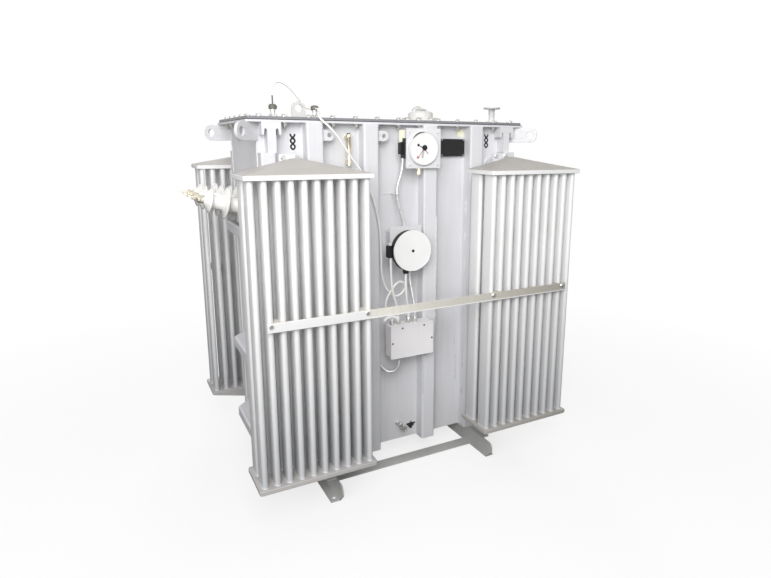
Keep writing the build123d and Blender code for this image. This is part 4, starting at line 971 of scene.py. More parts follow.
@dataclass
class TankDressing:
    """Cover bolts, weld beads, painted highlights on the channel edges and the painted handling marks."""

    shop: PaintShop
    bolt_pitch: float = 100.0
    bolt_inset: float = 22.0
    bolts_along: int = 13
    bolts_across: int = 5
    bolt_head: float = 11.0
    lug_x: float = 600.0
    lug_half_width: float = 20.0
    lug_clear_y: float = 220.0
    bead: float = 3.2
    bead_step: float = 9.0
    bead_swell: float = 0.16
    channel_half: float = 35.0
    channel_xs: tuple[float, ...] = (144.0, 388.0)
    cleat_channel: tuple[float, float] = (577.0, 30.0)
    flank_highlights: tuple[tuple[float, float], ...] = ((1162, 1241), (1050, 1086), (894, 968), (392, 604), (260, 300))
    flank_place: tuple[float, float] = (352.8, -266.0)
    wall_highlights: tuple[Point, ...] = ((332, 327, 470), (322, 505, 599), (134, 205, 260))
    face_highlights: tuple[Point, ...] = ((113, 320, 1240), (175, 640, 1180))
    highlight_widths: Point = (6.5, 3.4, 2.6)
    sling_places: tuple[tuple[float, float], ...] = ((-463.0, 1504.0), (480.0, 1514.0))
    sling_height: float = 62.0
    sling_swing: float = 8.6
    sling_stroke: float = 3.7
    sling_pitch: float = 47.0
    earth_place: tuple[float, float] = (79.0, 140.0)
    earth_bars: tuple[tuple[float, float], ...] = ((48.0, 9.0), (32.0, -1.0), (16.0, -11.0))
    earth_bar_height: float = 9.6
    earth_stem: Point = (8.0, 10.0, 17.0)

    def rim_spots(self, cover: Box) -> list[tuple[float, float]]:
        """Return the places of the cover bolts: one row along each side of the cover.

        Args:
            cover: the box of the cover plate.

        Returns:
            X and Y of each bolt, in metres.
        """
        x, y = cover.high[:2] - self.bolt_inset * MM
        along = (np.arange(self.bolts_along) - (self.bolts_along - 1) / 2) * self.bolt_pitch * MM
        across = (np.arange(self.bolts_across) - (self.bolts_across - 1) / 2) * self.bolt_pitch * MM
        rows = [(one, side * y) for one in along for side in SIDES]
        return rows + [(side * x, one) for one in across for side in SIDES]

    def under_lug(self, x: float, y: float) -> bool:
        """Tell whether a lifting lug takes the room of the nut at this place."""
        return abs(abs(x) - self.lug_x * MM) <= self.lug_half_width * MM and abs(y) >= self.lug_clear_y * MM

    def build_cover_bolts(self) -> None:
        """Bolt the cover down: heads above it, nuts and threads below the rim, but for those at the lugs."""
        cover, rim_z = node_box("cover_plate"), node_box("rim_flange").low[2]
        spots = self.rim_spots(cover)
        heads = bolt(self.bolt_head, 6.0, 3.0).placed(places([(*spot, cover.high[2]) for spot in spots], UP))
        washer = lathe([(self.bolt_head * 1.2, 0), (self.bolt_head * 1.2, 2.0)], 20)
        thread = lathe([(6.0, 0), (6.0, 18.0), (5.0, 20.0)], 12)
        nut = joined([washer, hexagon(self.bolt_head, 9.0).lifted(2.0), thread])
        nuts = nut.placed(places([(*spot, rim_z) for spot in spots if not self.under_lug(*spot)], DOWN))
        self.shop.piece("cover_bolts", joined([heads, nuts]), Slot.ZINC)

    def weld(self, start: Sequence[float], end: Sequence[float], reference: Sequence[float] = RIGHT) -> Shell:
        """Return a bead along a seam; its radius swells and shrinks as r (1 + a sin(2 pi s / pitch)).

        Args:
            start: one end of the seam, in metres.
            end: the other end.
            reference: a direction across the seam.

        Returns:
            A closed bead.
        """
        first, last = np.asarray(start, float), np.asarray(end, float)
        length = np.linalg.norm(last - first)
        share = np.linspace(0, 1, max(int(length / (self.bead_step * MM)), 2))
        swell = 1 + self.bead_swell * np.sin(share * length / (self.bead_step * 3.1 * MM) * 2 * pi)
        return tube(first + share[:, None] * (last - first), self.bead * MM * swell, 6, reference)

    def build_welds(self) -> None:
        """Run beads where the channels, the corners and the rim meet the tank."""
        wall, rim_z = node_box("tank_wall_front"), node_box("rim_flange").low[2]
        wall_x, wall_y, foot_z = wall.high[0], -wall.low[1], wall.low[2]
        cleat_x, cleat_half = self.cleat_channel
        seams = [(x + side * self.channel_half, rim_z) for x in self.channel_xs for side in SIDES]
        seams += [(cleat_x - cleat_half, node_box("sling_cleats").low[2]), (wall_x / MM, rim_z)]
        beads = [
            self.weld((side * x * MM, row * wall_y, foot_z), (side * x * MM, row * wall_y, top_z))
            for x, top_z in seams
            for side in SIDES
            for row in SIDES
        ]
        beads += [self.weld((-wall_x, row * wall_y, rim_z), (wall_x, row * wall_y, rim_z), UP) for row in SIDES]
        self.shop.piece("tank_weld_beads", joined(beads), Slot.TANK)

    def highlight_strip(self, low: float, high: float, width: float, flat: int) -> Shell:
        """Return a bright strip of painted highlight: half its width is w (1 + 0.35 sin(2 pi z / 37) + 0.2 sin(2 pi z
        / 13)).

        Args:
            low: foot of the strip in millimetres.
            high: its top.
            width: half of its mean width.
            flat: the axis along which it is pressed flat.

        Returns:
            A thin closed strip about the Z axis.
        """
        z = np.linspace(low, high, max(int((high - low) / 3), 8))
        taper = np.minimum(1, np.minimum(z - low, high - z) / 9 + 0.15)
        swell = width * taper * (1 + 0.35 * np.sin(2 * pi * z / 37) + 0.2 * np.sin(2 * pi * z / 13))
        path = np.column_stack([np.zeros_like(z), np.zeros_like(z), z]) * MM
        strip = tube(path, swell * MM, 8, REAR)
        strip.points[:, flat] *= 0.1
        return strip

    def build_edge_highlights(self) -> None:
        """Paint highlights on the edges of the right-hand channels as bright broken strips."""
        # Thin white strips paint highlights where the channel edges catch the light.
        flank_width, wall_width, face_width = self.highlight_widths
        wall_y, face_y = node_box("tank_wall_front").low[1], node_box("stiffeners_front").low[1]
        x, y = np.array(self.flank_place) * MM
        strips = [self.highlight_strip(low, high, flank_width, 0).moved((x, y, 0)) for low, high in self.flank_highlights]
        strips += [self.highlight_strip(low, high, wall_width, 1).moved((x * MM, wall_y, 0)) for x, low, high in self.wall_highlights]
        strips += [self.highlight_strip(low, high, face_width, 1).moved((x * MM, face_y, 0)) for x, low, high in self.face_highlights]
        self.shop.piece("channel_edge_highlights", joined(strips), Slot.RADIATOR)

    def chain_mark(self) -> Shell:
        """Return the painted sign for a sling: two strokes x = a sin(2 pi z / pitch) that cross each other."""
        z = np.linspace(0, self.sling_height, 45)
        sway = self.sling_swing * np.sin(2 * pi * z / self.sling_pitch)
        paths = [np.column_stack([side * sway, np.zeros(45), z - self.sling_height / 2]) * MM for side in SIDES]
        mark = joined([tube(path, self.sling_stroke * MM, 8, REAR) for path in paths])
        mark.points[:, 1] *= 0.08
        return mark

    def earth_mark(self) -> Shell:
        """Return the painted earth sign: a stem over three bars that shorten downwards."""
        width, height, middle = self.earth_stem
        sizes = [(bar, self.earth_bar_height, y) for bar, y in self.earth_bars] + [(width, height, middle)]
        return joined([slab(wide, tall, 0.6, 0.6, 0.2).moved((0, y * MM, 0)) for wide, tall, y in sizes])

    def build_marks(self) -> None:
        """Paint the sling signs by the cleats and the earth sign by the earthing bolt."""
        wall_y = node_box("tank_wall_front").low[1]
        slings = [self.chain_mark().moved((x * MM, wall_y - 0.2 * MM, z * MM)) for x, z in self.sling_places]
        self.shop.piece("sling_signs", joined(slings), Slot.PLATE)
        x, z = np.array(self.earth_place) * MM
        self.shop.piece("earth_sign", self.earth_mark().placed(place((x, wall_y - 0.1 * MM, z), FRONT)), Slot.PLATE)

    def build(self) -> None:
        """Build the bolts, the welds, the painted edge highlights and the marks."""
        self.build_cover_bolts()
        self.build_welds()
        self.build_edge_highlights()
        self.build_marks()


@dataclass
class Bushings:
    """Three tilted bushings in each end wall: clamp ring, glazed porcelain with sheds, and stud."""

    shop: PaintShop
    pitch: float = 140.0
    tilt: float = 13.0
    seat_z: float = 1233.0
    socket_radius: float = 60.0
    socket_depth: float = 16.0
    clamp_radius: float = 66.0
    clamp_foot: float = 20.0
    clamp_top: float = 32.0
    clamp_bolts: int = 6
    clamp_bolt_inset: float = 10.0
    shed_radii: Point = (68.0, 66.0, 50.0)
    shed_centres: Point = (55.0, 117.0, 179.0)
    shed_half: float = 14.0
    core_radius: float = 30.0
    collar: float = 8.0
    neck_radius: float = 22.0
    porcelain_end: float = 202.0
    stud_radius: float = 9.0
    thread_end: float = 236.0
    nut_radius: float = 16.0
    nut_height: float = 11.0
    nut_lifts: tuple[float, float] = (2.4, 14.0)
    washer_radius: float = 18.0
    stud_end: float = 260.0
    flag_length: float = 32.0
    flag_width: float = 34.0
    flag_thickness: float = 8.0
    flag_hole: float = 6.5
    flag_hole_end: float = 11.0
    flag_rays: int = 48

    def porcelain(self) -> Shell:
        """Return the porcelain: a straight body with three sheds, each flat above and drooping to a thin round lip."""
        root, core, neck = self.clamp_top, self.core_radius, self.neck_radius
        profile = [(core + self.collar, root), (core + self.collar, root + 7)]
        for middle, rim in zip(self.shed_centres, self.shed_radii):
            profile += [
                (core, middle - 13), (core + 6, middle - 10), (rim - 14, middle - 6), (rim - 2, middle - 5),
                (rim, middle - 2), (rim - 1, middle + 2), (rim - 5, middle + 4), (core + 10, middle + 8),
                (core + 2, middle + 11), (core, middle + self.shed_half),
            ]
        top, end = self.shed_centres[-1] + self.shed_half, self.porcelain_end
        profile += [(neck + 2, top + 2), (neck, top + 5), (neck, end - 2), (neck - 2, end)]
        return lathe(profile, 56)

    def socket(self) -> Shell:
        """Return the socket with its clamp ring and its bolts."""
        pipe = lathe([(self.socket_radius, -self.socket_depth), (self.socket_radius, self.clamp_foot)], 56)
        ring = lathe(disc_profile(self.clamp_radius, self.clamp_foot, self.clamp_top), 56)
        circle = around_z(self.clamp_bolts, self.clamp_radius - self.clamp_bolt_inset)
        spots = np.column_stack([circle, np.full(self.clamp_bolts, self.clamp_top)]) * MM
        return joined([pipe, ring, bolt(7.0, 4.0, 4.0).placed(places(spots, UP))])

    def stud(self) -> Shell:
        """Return the stud with its nuts, its washer and its flat terminal."""
        radius, end = self.stud_radius, self.porcelain_end
        rod = lathe([(radius, end - 2), (radius, self.thread_end - 2), (radius - 1, self.thread_end)], 24)
        nuts = [hexagon(self.nut_radius, self.nut_height).lifted(end + lift) for lift in self.nut_lifts]
        washer = lathe([(self.washer_radius, 0), (self.washer_radius, self.nut_lifts[0])], 28).lifted(end)
        return joined([rod, *nuts, washer, self.flag()])

    def flag(self) -> Shell:
        """Return the flat terminal with its hole: a ring of rays from the hole to the plate's outline."""
        rays = self.flag_rays
        circle = around_z(rays, 1.0)
        half_sides = np.array([self.flag_width, self.flag_length]) / 2
        centre = self.stud_end - half_sides[1]
        hole = self.stud_end - self.flag_hole_end - centre
        outer = circle / np.max(np.abs(circle) / half_sides, axis=1, keepdims=True)
        inner = circle * self.flag_hole + [0, hole]
        half = self.flag_thickness / 2
        loops = ((inner, -half), (outer, -half), (outer, half), (inner, half))
        rings = np.stack([np.column_stack([np.full(rays, x), loop]) for loop, x in loops]) * MM
        rings[..., 2] += centre * MM
        ring, side = np.meshgrid(np.arange(4), np.arange(rays), indexing="ij")
        after, onward = (side + 1) % rays, (ring + 1) % 4
        quads = np.stack([ring * rays + side, ring * rays + after, onward * rays + after, onward * rays + side], -1)
        return Shell(rings.reshape(-1, 3), quads.reshape(-1, 4))

    def build(self) -> None:
        """Set the bushings into both end walls."""
        wall_x, rise = node_box("tank_wall_right").high[0], radians(self.tilt)
        seats = [
            place((side * wall_x, row * self.pitch * MM, self.seat_z * MM), (side * cos(rise), 0, sin(rise)), UP)
            for side in SIDES
            for row in (-1, 0, 1)
        ]
        seats = np.stack(seats)
        self.shop.piece("bushing_clamp_rings", self.socket().placed(seats), Slot.TANK, ["bushing_sockets"])
        self.shop.piece("bushing_sheds", self.porcelain().placed(seats), Slot.PORCELAIN, ["bushing_porcelains"])
        self.shop.piece("bushing_stud_sets", self.stud().placed(seats), Slot.STUD, ["bushing_studs"])


@dataclass
class CoverFittings:
    """The relief dome, the vent and the two thermometer pockets."""

    shop: PaintShop
    dome_bolts: int = 8
    dome_bolt_inset: float = 15.0
    dome_bolt_start: float = 0.2
    dome_shoulder: tuple[float, float] = (20.0, 14.0)
    dome_fillet: float = 3.0
    grip_radius: float = 5.0
    grip_squareness: float = 0.45
    vent_foot: tuple[float, float] = (30.0, 10.0)
    vent_pipe: float = 15.0
    vent_neck: float = 18.0
    vent_cap: float = 8.0
    pocket_seat: tuple[float, float] = (22.0, 3.0)
    pocket_nut: tuple[float, float] = (17.0, 11.0)
    pocket_radius: float = 10.0
    pocket_head: tuple[float, float] = (12.0, 6.0)
    knob_round: tuple[float, float] = (10.0, 9.0)
    knob_flutes: int = 12
    knob_flute_depth: float = 0.05

    def build_dome(self) -> None:
        """Turn the dome with its flange, bolt it down and bend the grip: x = |cos t|^q with its sign, z = sin^q t."""
        ring, cap, grip = (node_box(name) for name in ("dome_flange", "relief_dome", "dome_grip"))
        centre, (radius, _, thick) = ring.foot, ring.size / [2, 2, 1]
        flange = lathe(disc_profile(radius, 0, thick), 64)
        self.shop.piece("dome_base_ring", flange.moved(centre), Slot.FITTING, ["dome_flange"])
        dome, top = cap.size[0] / 2, (cap.high[2] - ring.low[2]) / MM
        wide, tall = self.dome_shoulder
        crown = [(dome - wide + wide * cos(t), top - tall + tall * sin(t)) for t in np.linspace(0, pi / 2, 7)]
        body = lathe([(dome + self.dome_fillet, thick), (dome, thick + self.dome_fillet), *crown], 64)
        self.shop.piece("relief_dome_cap", body.moved(centre), Slot.FITTING, ["relief_dome"])
        circle = around_z(self.dome_bolts, radius - self.dome_bolt_inset, self.dome_bolt_start)
        spots = np.column_stack([circle, np.full(self.dome_bolts, thick)]) * MM + centre
        self.shop.piece("dome_bolts", bolt(13.0, 6.0, 4.0).placed(places(spots, UP)), Slot.ZINC)
        t = np.linspace(0, pi, 25)
        half, lift = grip.size[0] / 2 - self.grip_radius, grip.size[2] - self.grip_radius
        across = -half * np.sign(np.cos(t)) * np.abs(np.cos(t)) ** self.grip_squareness
        bow = np.column_stack([across, np.zeros(25), lift * np.sin(t) ** self.grip_squareness]) * MM
        bar = tube(bow + [centre[0], centre[1], grip.low[2]], self.grip_radius * MM, 12, REAR)
        self.shop.piece("dome_grip_bar", bar, Slot.ZINC, ["dome_grip"])

    def build_vent(self) -> None:
        """Turn the vent: a foot, a straight pipe and a flat cap with a rolled rim."""
        box = node_box("vent_pipe")
        cap, top, pipe = box.size[0] / 2, box.size[2], self.vent_pipe
        foot, foot_height = self.vent_foot
        under = top - self.vent_cap
        profile = disc_profile(foot, 0, foot_height)
        profile += [(self.vent_neck, foot_height + 1), (pipe, foot_height + 4), (pipe, under - 6)]
        profile += [(self.vent_neck, under - 2), (self.vent_neck, under), *disc_profile(cap, under, top, 2.0)]
        self.shop.piece("vent_stack", lathe(profile, 44).moved(box.foot), Slot.FITTING, ["vent_pipe"])

    def build_pockets(self) -> None:
        """Turn the two pockets with their hexagons and the fluted knobs on top."""
        pockets, knobs = node_box("thermometer_pockets"), node_box("pocket_knobs")
        (_, knob, tall), height = knobs.size / [2, 2, 1], pockets.size[2]
        y = knobs.centre[1]
        xs = (knobs.low[0] + knob * MM, knobs.high[0] - knob * MM)
        seat, seat_height = self.pocket_seat
        head, head_height = self.pocket_head
        stem = [(self.pocket_radius, 0), (self.pocket_radius, height - head_height)]
        stem += [(head, height - head_height + 1), (head, height)]
        nut = hexagon(*self.pocket_nut).lifted(seat_height)
        pocket = joined([lathe([(seat, 0), (seat, seat_height)], 32), nut, lathe(stem, 28)])
        bodies = pocket.placed(places([(x, y, pockets.low[2]) for x in xs], UP))
        self.shop.piece("pocket_bodies", bodies, Slot.ZINC, ["thermometer_pockets"])
        wide, rise = self.knob_round
        profile = [(knob - 2, 0), (knob, 2), (knob, tall - rise)]
        profile += [(knob - wide + wide * cos(t), tall - rise + rise * sin(t)) for t in np.linspace(0, pi / 2, 6)]
        cap = lathe(profile, 48)
        angle = np.arctan2(cap.points[:, 1], cap.points[:, 0])
        flute = 1 - self.knob_flute_depth * (1 + np.cos(self.knob_flutes * angle)) / 2
        cap.points[:, :2] *= flute[:, None]
        caps = cap.placed(places([(x, y, knobs.low[2]) for x in xs], UP))
        self.shop.piece("pocket_knob_caps", caps, Slot.KNOB, ["pocket_knobs"])

    def build(self) -> None:
        """Build all the cover fittings."""
        self.build_dome()
        self.build_vent()
        self.build_pockets()


@dataclass(frozen=True)
class Hand:
    """A flat tapering hand of a dial; its angle runs clockwise from the top, in degrees."""

    angle: float
    length: float
    width: float
    lift: float
    thickness: float = 0.8
    tail: float = 6.0

    def shell(self, face: Array) -> Shell:
        """Return the hand over a dial face.

        Args:
            face: middle of the face, in metres.

        Returns:
            A closed blade.
        """
        root, tip = self.width / 2, self.width / 5
        outline = np.array([(-root, -self.tail), (root, -self.tail), (tip, self.length), (-tip, self.length)]) * MM
        turn = radians(self.angle)
        blade = layered([outline, outline], [self.lift, self.lift + self.thickness])
        return blade.placed(place(face, FRONT, (cos(turn), 0, -sin(turn))))


@dataclass
class Instruments:
    """The two gauges, the junction box trim, the rating plate, the level tube and the drain."""

    shop: PaintShop
    tick_count: int = 30
    tick_sweep: float = 135.0
    tick_width: float = 1.3
    tick_length: float = 5.0
    tick_inset: float = 5.0
    upper_sink: float = 2.4
    upper_bezel: float = 6.0
    lower_sink: float = 0.6
    lower_bezel: float = 2.4
    dark_hands: tuple[Hand, ...] = (Hand(-64, 30, 6, 0.6), Hand(140, 32, 4, 0.8))
    red_hand: Hand = Hand(217, 42, 4.5, 1.4)
    hub_offset: Point = (3.0, 0.0, 3.0)
    marker_offset: Point = (-28.0, 0.0, 14.0)
    pointer_offset: Point = (-6.0, -1.0, -24.0)
    pointer_along: Point = (0.99, 0.0, -0.14)
    red_flag_offset: Point = (-30.0, -1.2, -38.0)
    hanger: Block = Block(26.0, 50.0, 3.0, (-2.0, -296.0, 1532.0), 2.0, 0.6)
    patch: tuple[float, float] = (332.0, 1549.0)
    upper_terminals: tuple[Block, ...] = (
        Block(18.0, 50.0, 22.0, (-5.0, -282.0, 1479.0)),
        Block(8.0, 86.0, 34.0, (3.0, -282.0, 1480.0)),
    )
    upper_rim_shadow: tuple[float, ...] = (-56.0, 4.0, 69.0, 2.6)
    plate_screw_inset: float = 16.0
    union_shift: float = 7.0
    lower_dark_crescents: tuple[tuple[float, ...], ...] = ((-84.0, -8.0, 91.0, 5.6), (-152.0, -106.0, 91.0, 4.4))
    lower_terminals: tuple[Block, ...] = (
        Block(20.0, 52.0, 26.0, (-84.0, -324.0, 1041.0)),
        Block(20.0, 22.0, 20.0, (-3.0, -327.0, 947.0)),
    )
    lower_clamp: Block = Block(12.0, 9.0, 20.0, (-82.0, -326.0, 1073.0), 1.5, 0.6)
    lid_screw_inset: float = 8.0
    lid_screw_xs: tuple[float, float] = (-30.0, 80.0)
    lid_screw_drop: float = 4.0
    top_gland_xs: tuple[float, ...] = (-68.0, -36.0, 15.0, 48.0)
    foot_gland_xs: tuple[float, ...] = (-32.0, 66.0, 104.0)
    wide_gland: int = 2
    rivet_inset: float = 5.0
    level_radius: float = 11.0
    level_shield: float = 10.4
    level_end: float = 17.0
    level_reach: float = 10.0
    level_arm_inset: float = 14.0
    level_arm: tuple[float, float] = (6.0, 44.0)
    drain_drop: float = 18.0
    drain_lever_gap: float = 9.0
    drain_lever_radius: float = 4.0
    drain_hook_radius: float = 3.6

    def dial_case(self, node: str, name: str, sink: float, rim: float, slot: Slot = Slot.DIAL) -> tuple[Array, float]:
        """Turn a dial case: a bezel ring round a sunk white face.

        Args:
            node: the CAD node that it replaces.
            name: name of the new piece.
            sink: how far the face lies behind the rim, in millimetres.
            rim: width of the bezel.
            slot: finish of the bezel.

        Returns:
            The middle of the face and its radius in millimetres.
        """
        box = node_box(node)
        radius, thick, _ = box.size / [2, 1, 1]
        profile = [(radius - 1, 0), (radius, 1), (radius, thick - 3), (radius - 2, thick - 0.6)]
        profile += [(radius - rim / 2, thick), (radius - rim, thick - 1), (radius - rim, thick - sink)]
        self.shop.piece(name, lathe(profile, 72).placed(place(box.back, FRONT)), slot, [node])
        return np.array([box.centre[0], box.low[1] + sink * MM, box.centre[2]]), radius - rim

    def ticks(self, face: Array, radius: float) -> Shell:
        """Return a ring of dial strokes over three quarters of a turn.

        Args:
            face: middle of the dial face.
            radius: outer radius of the strokes, in millimetres.

        Returns:
            All the strokes.
        """
        reach = (radius - self.tick_length / 2) * MM
        sweep = radians(self.tick_sweep)
        turns = [(cos(angle), sin(angle)) for angle in np.linspace(-sweep, sweep, self.tick_count + 1)]
        stands = [place(face + np.array([x, 0, z]) * reach, FRONT, (z, 0, -x)) for z, x in turns]
        return slab(self.tick_width, self.tick_length, 0.4, 0.3, 0.1).placed(np.stack(stands))

    def crescent(self, face: Array, first: float, last: float, radius: float, width: float, y: float) -> Shell:
        """Return a dark sliver round a dial, thick in its middle: w sin(pi t)^0.6 along the arc.

        Args:
            face: middle of the dial.
            first: first angle in degrees, clockwise from the top.
            last: last angle.
            radius: radius of the arc in millimetres.
            width: half of its greatest thickness.
            y: the plane that it lies on, in metres.

        Returns:
            A closed sliver.
        """
        share = np.linspace(0, 1, 31)
        angle = np.radians(first + share * (last - first))
        arc = radius * MM * np.column_stack([np.sin(angle), np.zeros(31), np.cos(angle)])
        swell = np.maximum(np.sin(pi * share), 0.02) ** 0.6
        return tube(arc + [face[0], y, face[2]], width * MM * swell, 10, REAR)

    def build_upper_dial(self) -> None:
        """Build the upper dial: a sunk face with strokes, dark hands, a grey pointer and a red one."""
        face, radius = self.dial_case(
            "upper_gauge_dial", "upper_dial_case", self.upper_sink, self.upper_bezel, Slot.GAUGE
        )

        def on_dial(shell: Shell, offset: Sequence[float] = (0, 0, 0), along: Sequence[float] = RIGHT) -> Shell:
            """Stand a surface on the face, at an offset in millimetres from its middle."""
            return shell.placed(place(face + np.array(offset) * MM, FRONT, along))

        self.shop.piece("upper_dial_face", on_dial(lathe([(radius, 0), (radius, 0.5)], 72)), Slot.DIAL)
        self.shop.piece("upper_dial_strokes", self.ticks(face, radius - self.tick_inset), Slot.GAUGE)
        hub = on_dial(peg(12.0, 4.0, 28, 3.0), self.hub_offset)
        marker = on_dial(peg(5.5, 3.0, 20), self.marker_offset)
        dark = [hand.shell(face) for hand in self.dark_hands]
        self.shop.piece("upper_dial_hands", joined([*dark, hub, marker]), Slot.BLACK)
        arm = on_dial(slab(10.0, 36.0, 0.8, 1.0, 0.2), self.pointer_offset, self.pointer_along)
        self.shop.piece("upper_dial_pointer", arm, Slot.SKID)
        flag = on_dial(slab(11.0, 9.0, 0.8, 1.0, 0.2), self.red_flag_offset)
        red = joined([self.red_hand.shell(face), flag])
        self.shop.piece("upper_dial_red_pointer", red, Slot.DIAL, look=self.shop.red_mark)

    def build_upper_mount(self) -> None:
        """Build what holds the upper gauge: cream hangers, terminal blocks, the painted shadow at the dial's rim,
        plate screws and union.
        """
        x, z = self.patch
        patch = Block(33.0, 34.0, 3.0, (x, node_box("tank_wall_front").low[1] / MM, z), 2.0, 0.6)
        hangers = joined([self.hanger.shell(), patch.shell()])
        self.shop.piece("upper_plate_hangers", hangers, Slot.FITTING, look=self.shop.cream)
        blocks = joined([block.shell() for block in self.upper_terminals])
        self.shop.piece("upper_terminal_blocks", blocks, Slot.BLACK, ["upper_gauge_terminal"])
        # A black sliver along the top-left of the dial's rim is painted shadow of the rim.
        dial = node_box("upper_gauge_dial")
        gasket = self.crescent(dial.centre, *self.upper_rim_shadow, dial.low[1])
        self.shop.piece("upper_dial_rim_shadow", gasket, Slot.BLACK)
        corners = node_box("upper_gauge_plate").front_corners(self.plate_screw_inset)
        self.shop.piece("upper_plate_screws", bolt(5.0, 3.0, 3.0).placed(places(corners, FRONT)), Slot.TANK)
        box = node_box("upper_gauge_union")
        tall = box.size[2]
        profile = [(10, 7), (12.5, 9), (12.5, 26), (11, 28), (11, tall - 30), (12.5, tall - 28), (12.5, tall)]
        union = lathe(profile, 28).moved(box.foot + [self.union_shift * MM, 0, 0])
        self.shop.piece("upper_union_fitting", union, Slot.BRASS, ["upper_gauge_union"])

    def build_lower(self) -> None:
        """Build the lower gauge: a large white disc, its centre dot and the black body behind it."""
        face, _ = self.dial_case("lower_gauge_dial", "lower_dial_case", self.lower_sink, self.lower_bezel)
        self.shop.piece("lower_dial_hub", peg(6.5, 3.0, 28, 1.5).placed(place(face, FRONT)), Slot.BLACK)
        box = node_box("lower_gauge_body")
        wide, thick, _ = box.size / [2, 1, 1]
        profile = [(wide - 4, 0), (wide - 2, 3), (wide - 2, thick * 0.5), (wide, thick * 0.55)]
        profile += [(wide, thick - 2), (wide - 2, thick)]
        drum = lathe(profile, 64).placed(place(box.back, FRONT))
        self.shop.piece("lower_gauge_drum", drum, Slot.BLACK, ["lower_gauge_body"])
        # Black crescents lie along the dial's rim.
        rims = [self.crescent(face, *arc, box.low[1] + MM) for arc in self.lower_dark_crescents]
        self.shop.piece("lower_dial_crescents", joined(rims), Slot.BLACK)
        blocks = joined([block.shell() for block in self.lower_terminals])
        self.shop.piece("lower_terminal_blocks", blocks, Slot.BLACK, ["lower_gauge_terminals"])
        self.shop.piece("lower_terminal_clamp", self.lower_clamp.shell(), Slot.GAUGE)

    def build_box(self) -> None:
        """Screw the box lid down and give the glands their nuts and sleeves."""
        lid, box, gland_y = node_box("junction_box_lid"), node_box("junction_box"), node_box("cable_glands").centre[1]
        inset, y = self.lid_screw_inset * MM, lid.low[1]
        spots = [(x * MM, y, lid.high[2] - 2 * inset) for x in self.lid_screw_xs]
        side_z = lid.centre[2] - self.lid_screw_drop * MM
        spots += [(x, y, side_z) for x in (lid.low[0] + inset, lid.high[0] - inset)]
        screws = peg(4.4, 2.4, 24, 1.2).placed(places(spots, FRONT))
        self.shop.piece("box_lid_screws", screws, Slot.KNOB)
        tops = places([(x * MM, gland_y, box.high[2]) for x in self.top_gland_xs], UP)
        feet = places([(x * MM, gland_y, box.low[2]) for x in self.foot_gland_xs], DOWN)
        gland = joined([hexagon(12, 8), lathe([(9, 8), (9, 14), (8, 18)], 24)])
        wide = joined([hexagon(15, 9), lathe([(12, 9), (12, 22), (10, 26)], 28)]).placed(tops[self.wide_gland])
        glands = joined([gland.placed(np.concatenate([tops, feet])), wide])
        self.shop.piece("gland_nuts", glands, Slot.ZINC, ["cable_glands"])

    def build_plate(self) -> None:
        """Rivet the bare rating plate."""
        rivet = lathe([(2.6, 0), (2.3, 0.8), (1.2, 1.4)], 16)
        corners = node_box("rating_plate").front_corners(self.rivet_inset)
        self.shop.piece("rating_plate_rivets", rivet.placed(places(corners, FRONT)), Slot.ZINC)

    def build_level(self) -> None:
        """Build the level tube: brass ends and arms round a long brass shield, and a black stopper."""
        box = node_box("oil_level_tube")
        x, y, wall_y = box.centre[0], box.low[1] + self.level_reach * MM, box.high[1]
        tall, thick, shield, end = box.size[2], self.level_radius, self.level_shield, self.level_end
        profile = [(8, 0), (thick, 2), (thick, end - 1), (shield, end), (shield, tall - end)]
        profile += [(thick, tall - end + 1), (thick, tall - 4), (8, tall)]
        body = lathe(profile, 32).moved((x, y, box.low[2]))
        radius, length = self.level_arm
        inset = self.level_arm_inset * MM
        seats = places([(x, wall_y, z) for z in (box.low[2] + inset, box.high[2] - inset)], FRONT)
        arms = lathe([(radius, 0), (radius, length)], 24).placed(seats)
        self.shop.piece("level_tube_fittings", joined([body, arms]), Slot.BRASS, ["oil_level_tube"])
        stopper = peg(6.0, 6.0, 24).moved((x, y, box.high[2] - 2 * MM))
        self.shop.piece("level_tube_stopper", stopper, Slot.BLACK)

    def build_drain(self) -> None:
        """Build the drain valve with its lever and its hook, which is half a turn of an ellipse."""
        box = node_box("drain_valve")
        x, wall_y, z = box.centre[0], box.high[1], box.high[2] - self.drain_drop * MM
        axis = np.array([x, box.low[1] + self.drain_lever_gap * MM, z])
        barrel = lathe([(11, 0), (11, 6), (8, 7), (8, 26), (10, 27), (10, 38), (8, 40)], 32)
        lever = axis + np.linspace((-14, 0, 16), (16, 0, -20), 8) * MM
        turn = np.linspace(-pi, 0, 15)
        bend = np.column_stack([21 + 9 * np.cos(turn), np.zeros(15), 11 * np.sin(turn) - 26])
        hook = axis + np.vstack([bend, bend[-1] + [[0, 0, 6], [0, 0, 14]]]) * MM
        valve = joined([
            barrel.placed(place((x, wall_y, z), FRONT)),
            tube(lever, self.drain_lever_radius * MM, 12, REAR),
            tube(hook, self.drain_hook_radius * MM, 12, REAR),
        ])
        self.shop.piece("drain_valve_set", valve, Slot.ZINC, ["drain_valve"])

    def build_earthing(self) -> None:
        """Build the earthing bolt with its washer and nut."""
        end = lathe([(6, 12), (6, 13), (5, 14)], 20)
        boss = joined([peg(14.0, 6.0, 32), hexagon(11, 7).lifted(6.0), end])
        seat = place(node_box("earthing_boss").back, FRONT)
        self.shop.piece("earthing_bolt", boss.placed(seat), Slot.ZINC, ["earthing_boss"])

    def build(self) -> None:
        """Build every instrument."""
        self.build_upper_dial()
        self.build_upper_mount()
        self.build_lower()
        self.build_box()
        self.build_plate()
        self.build_level()
        self.build_drain()
        self.build_earthing()


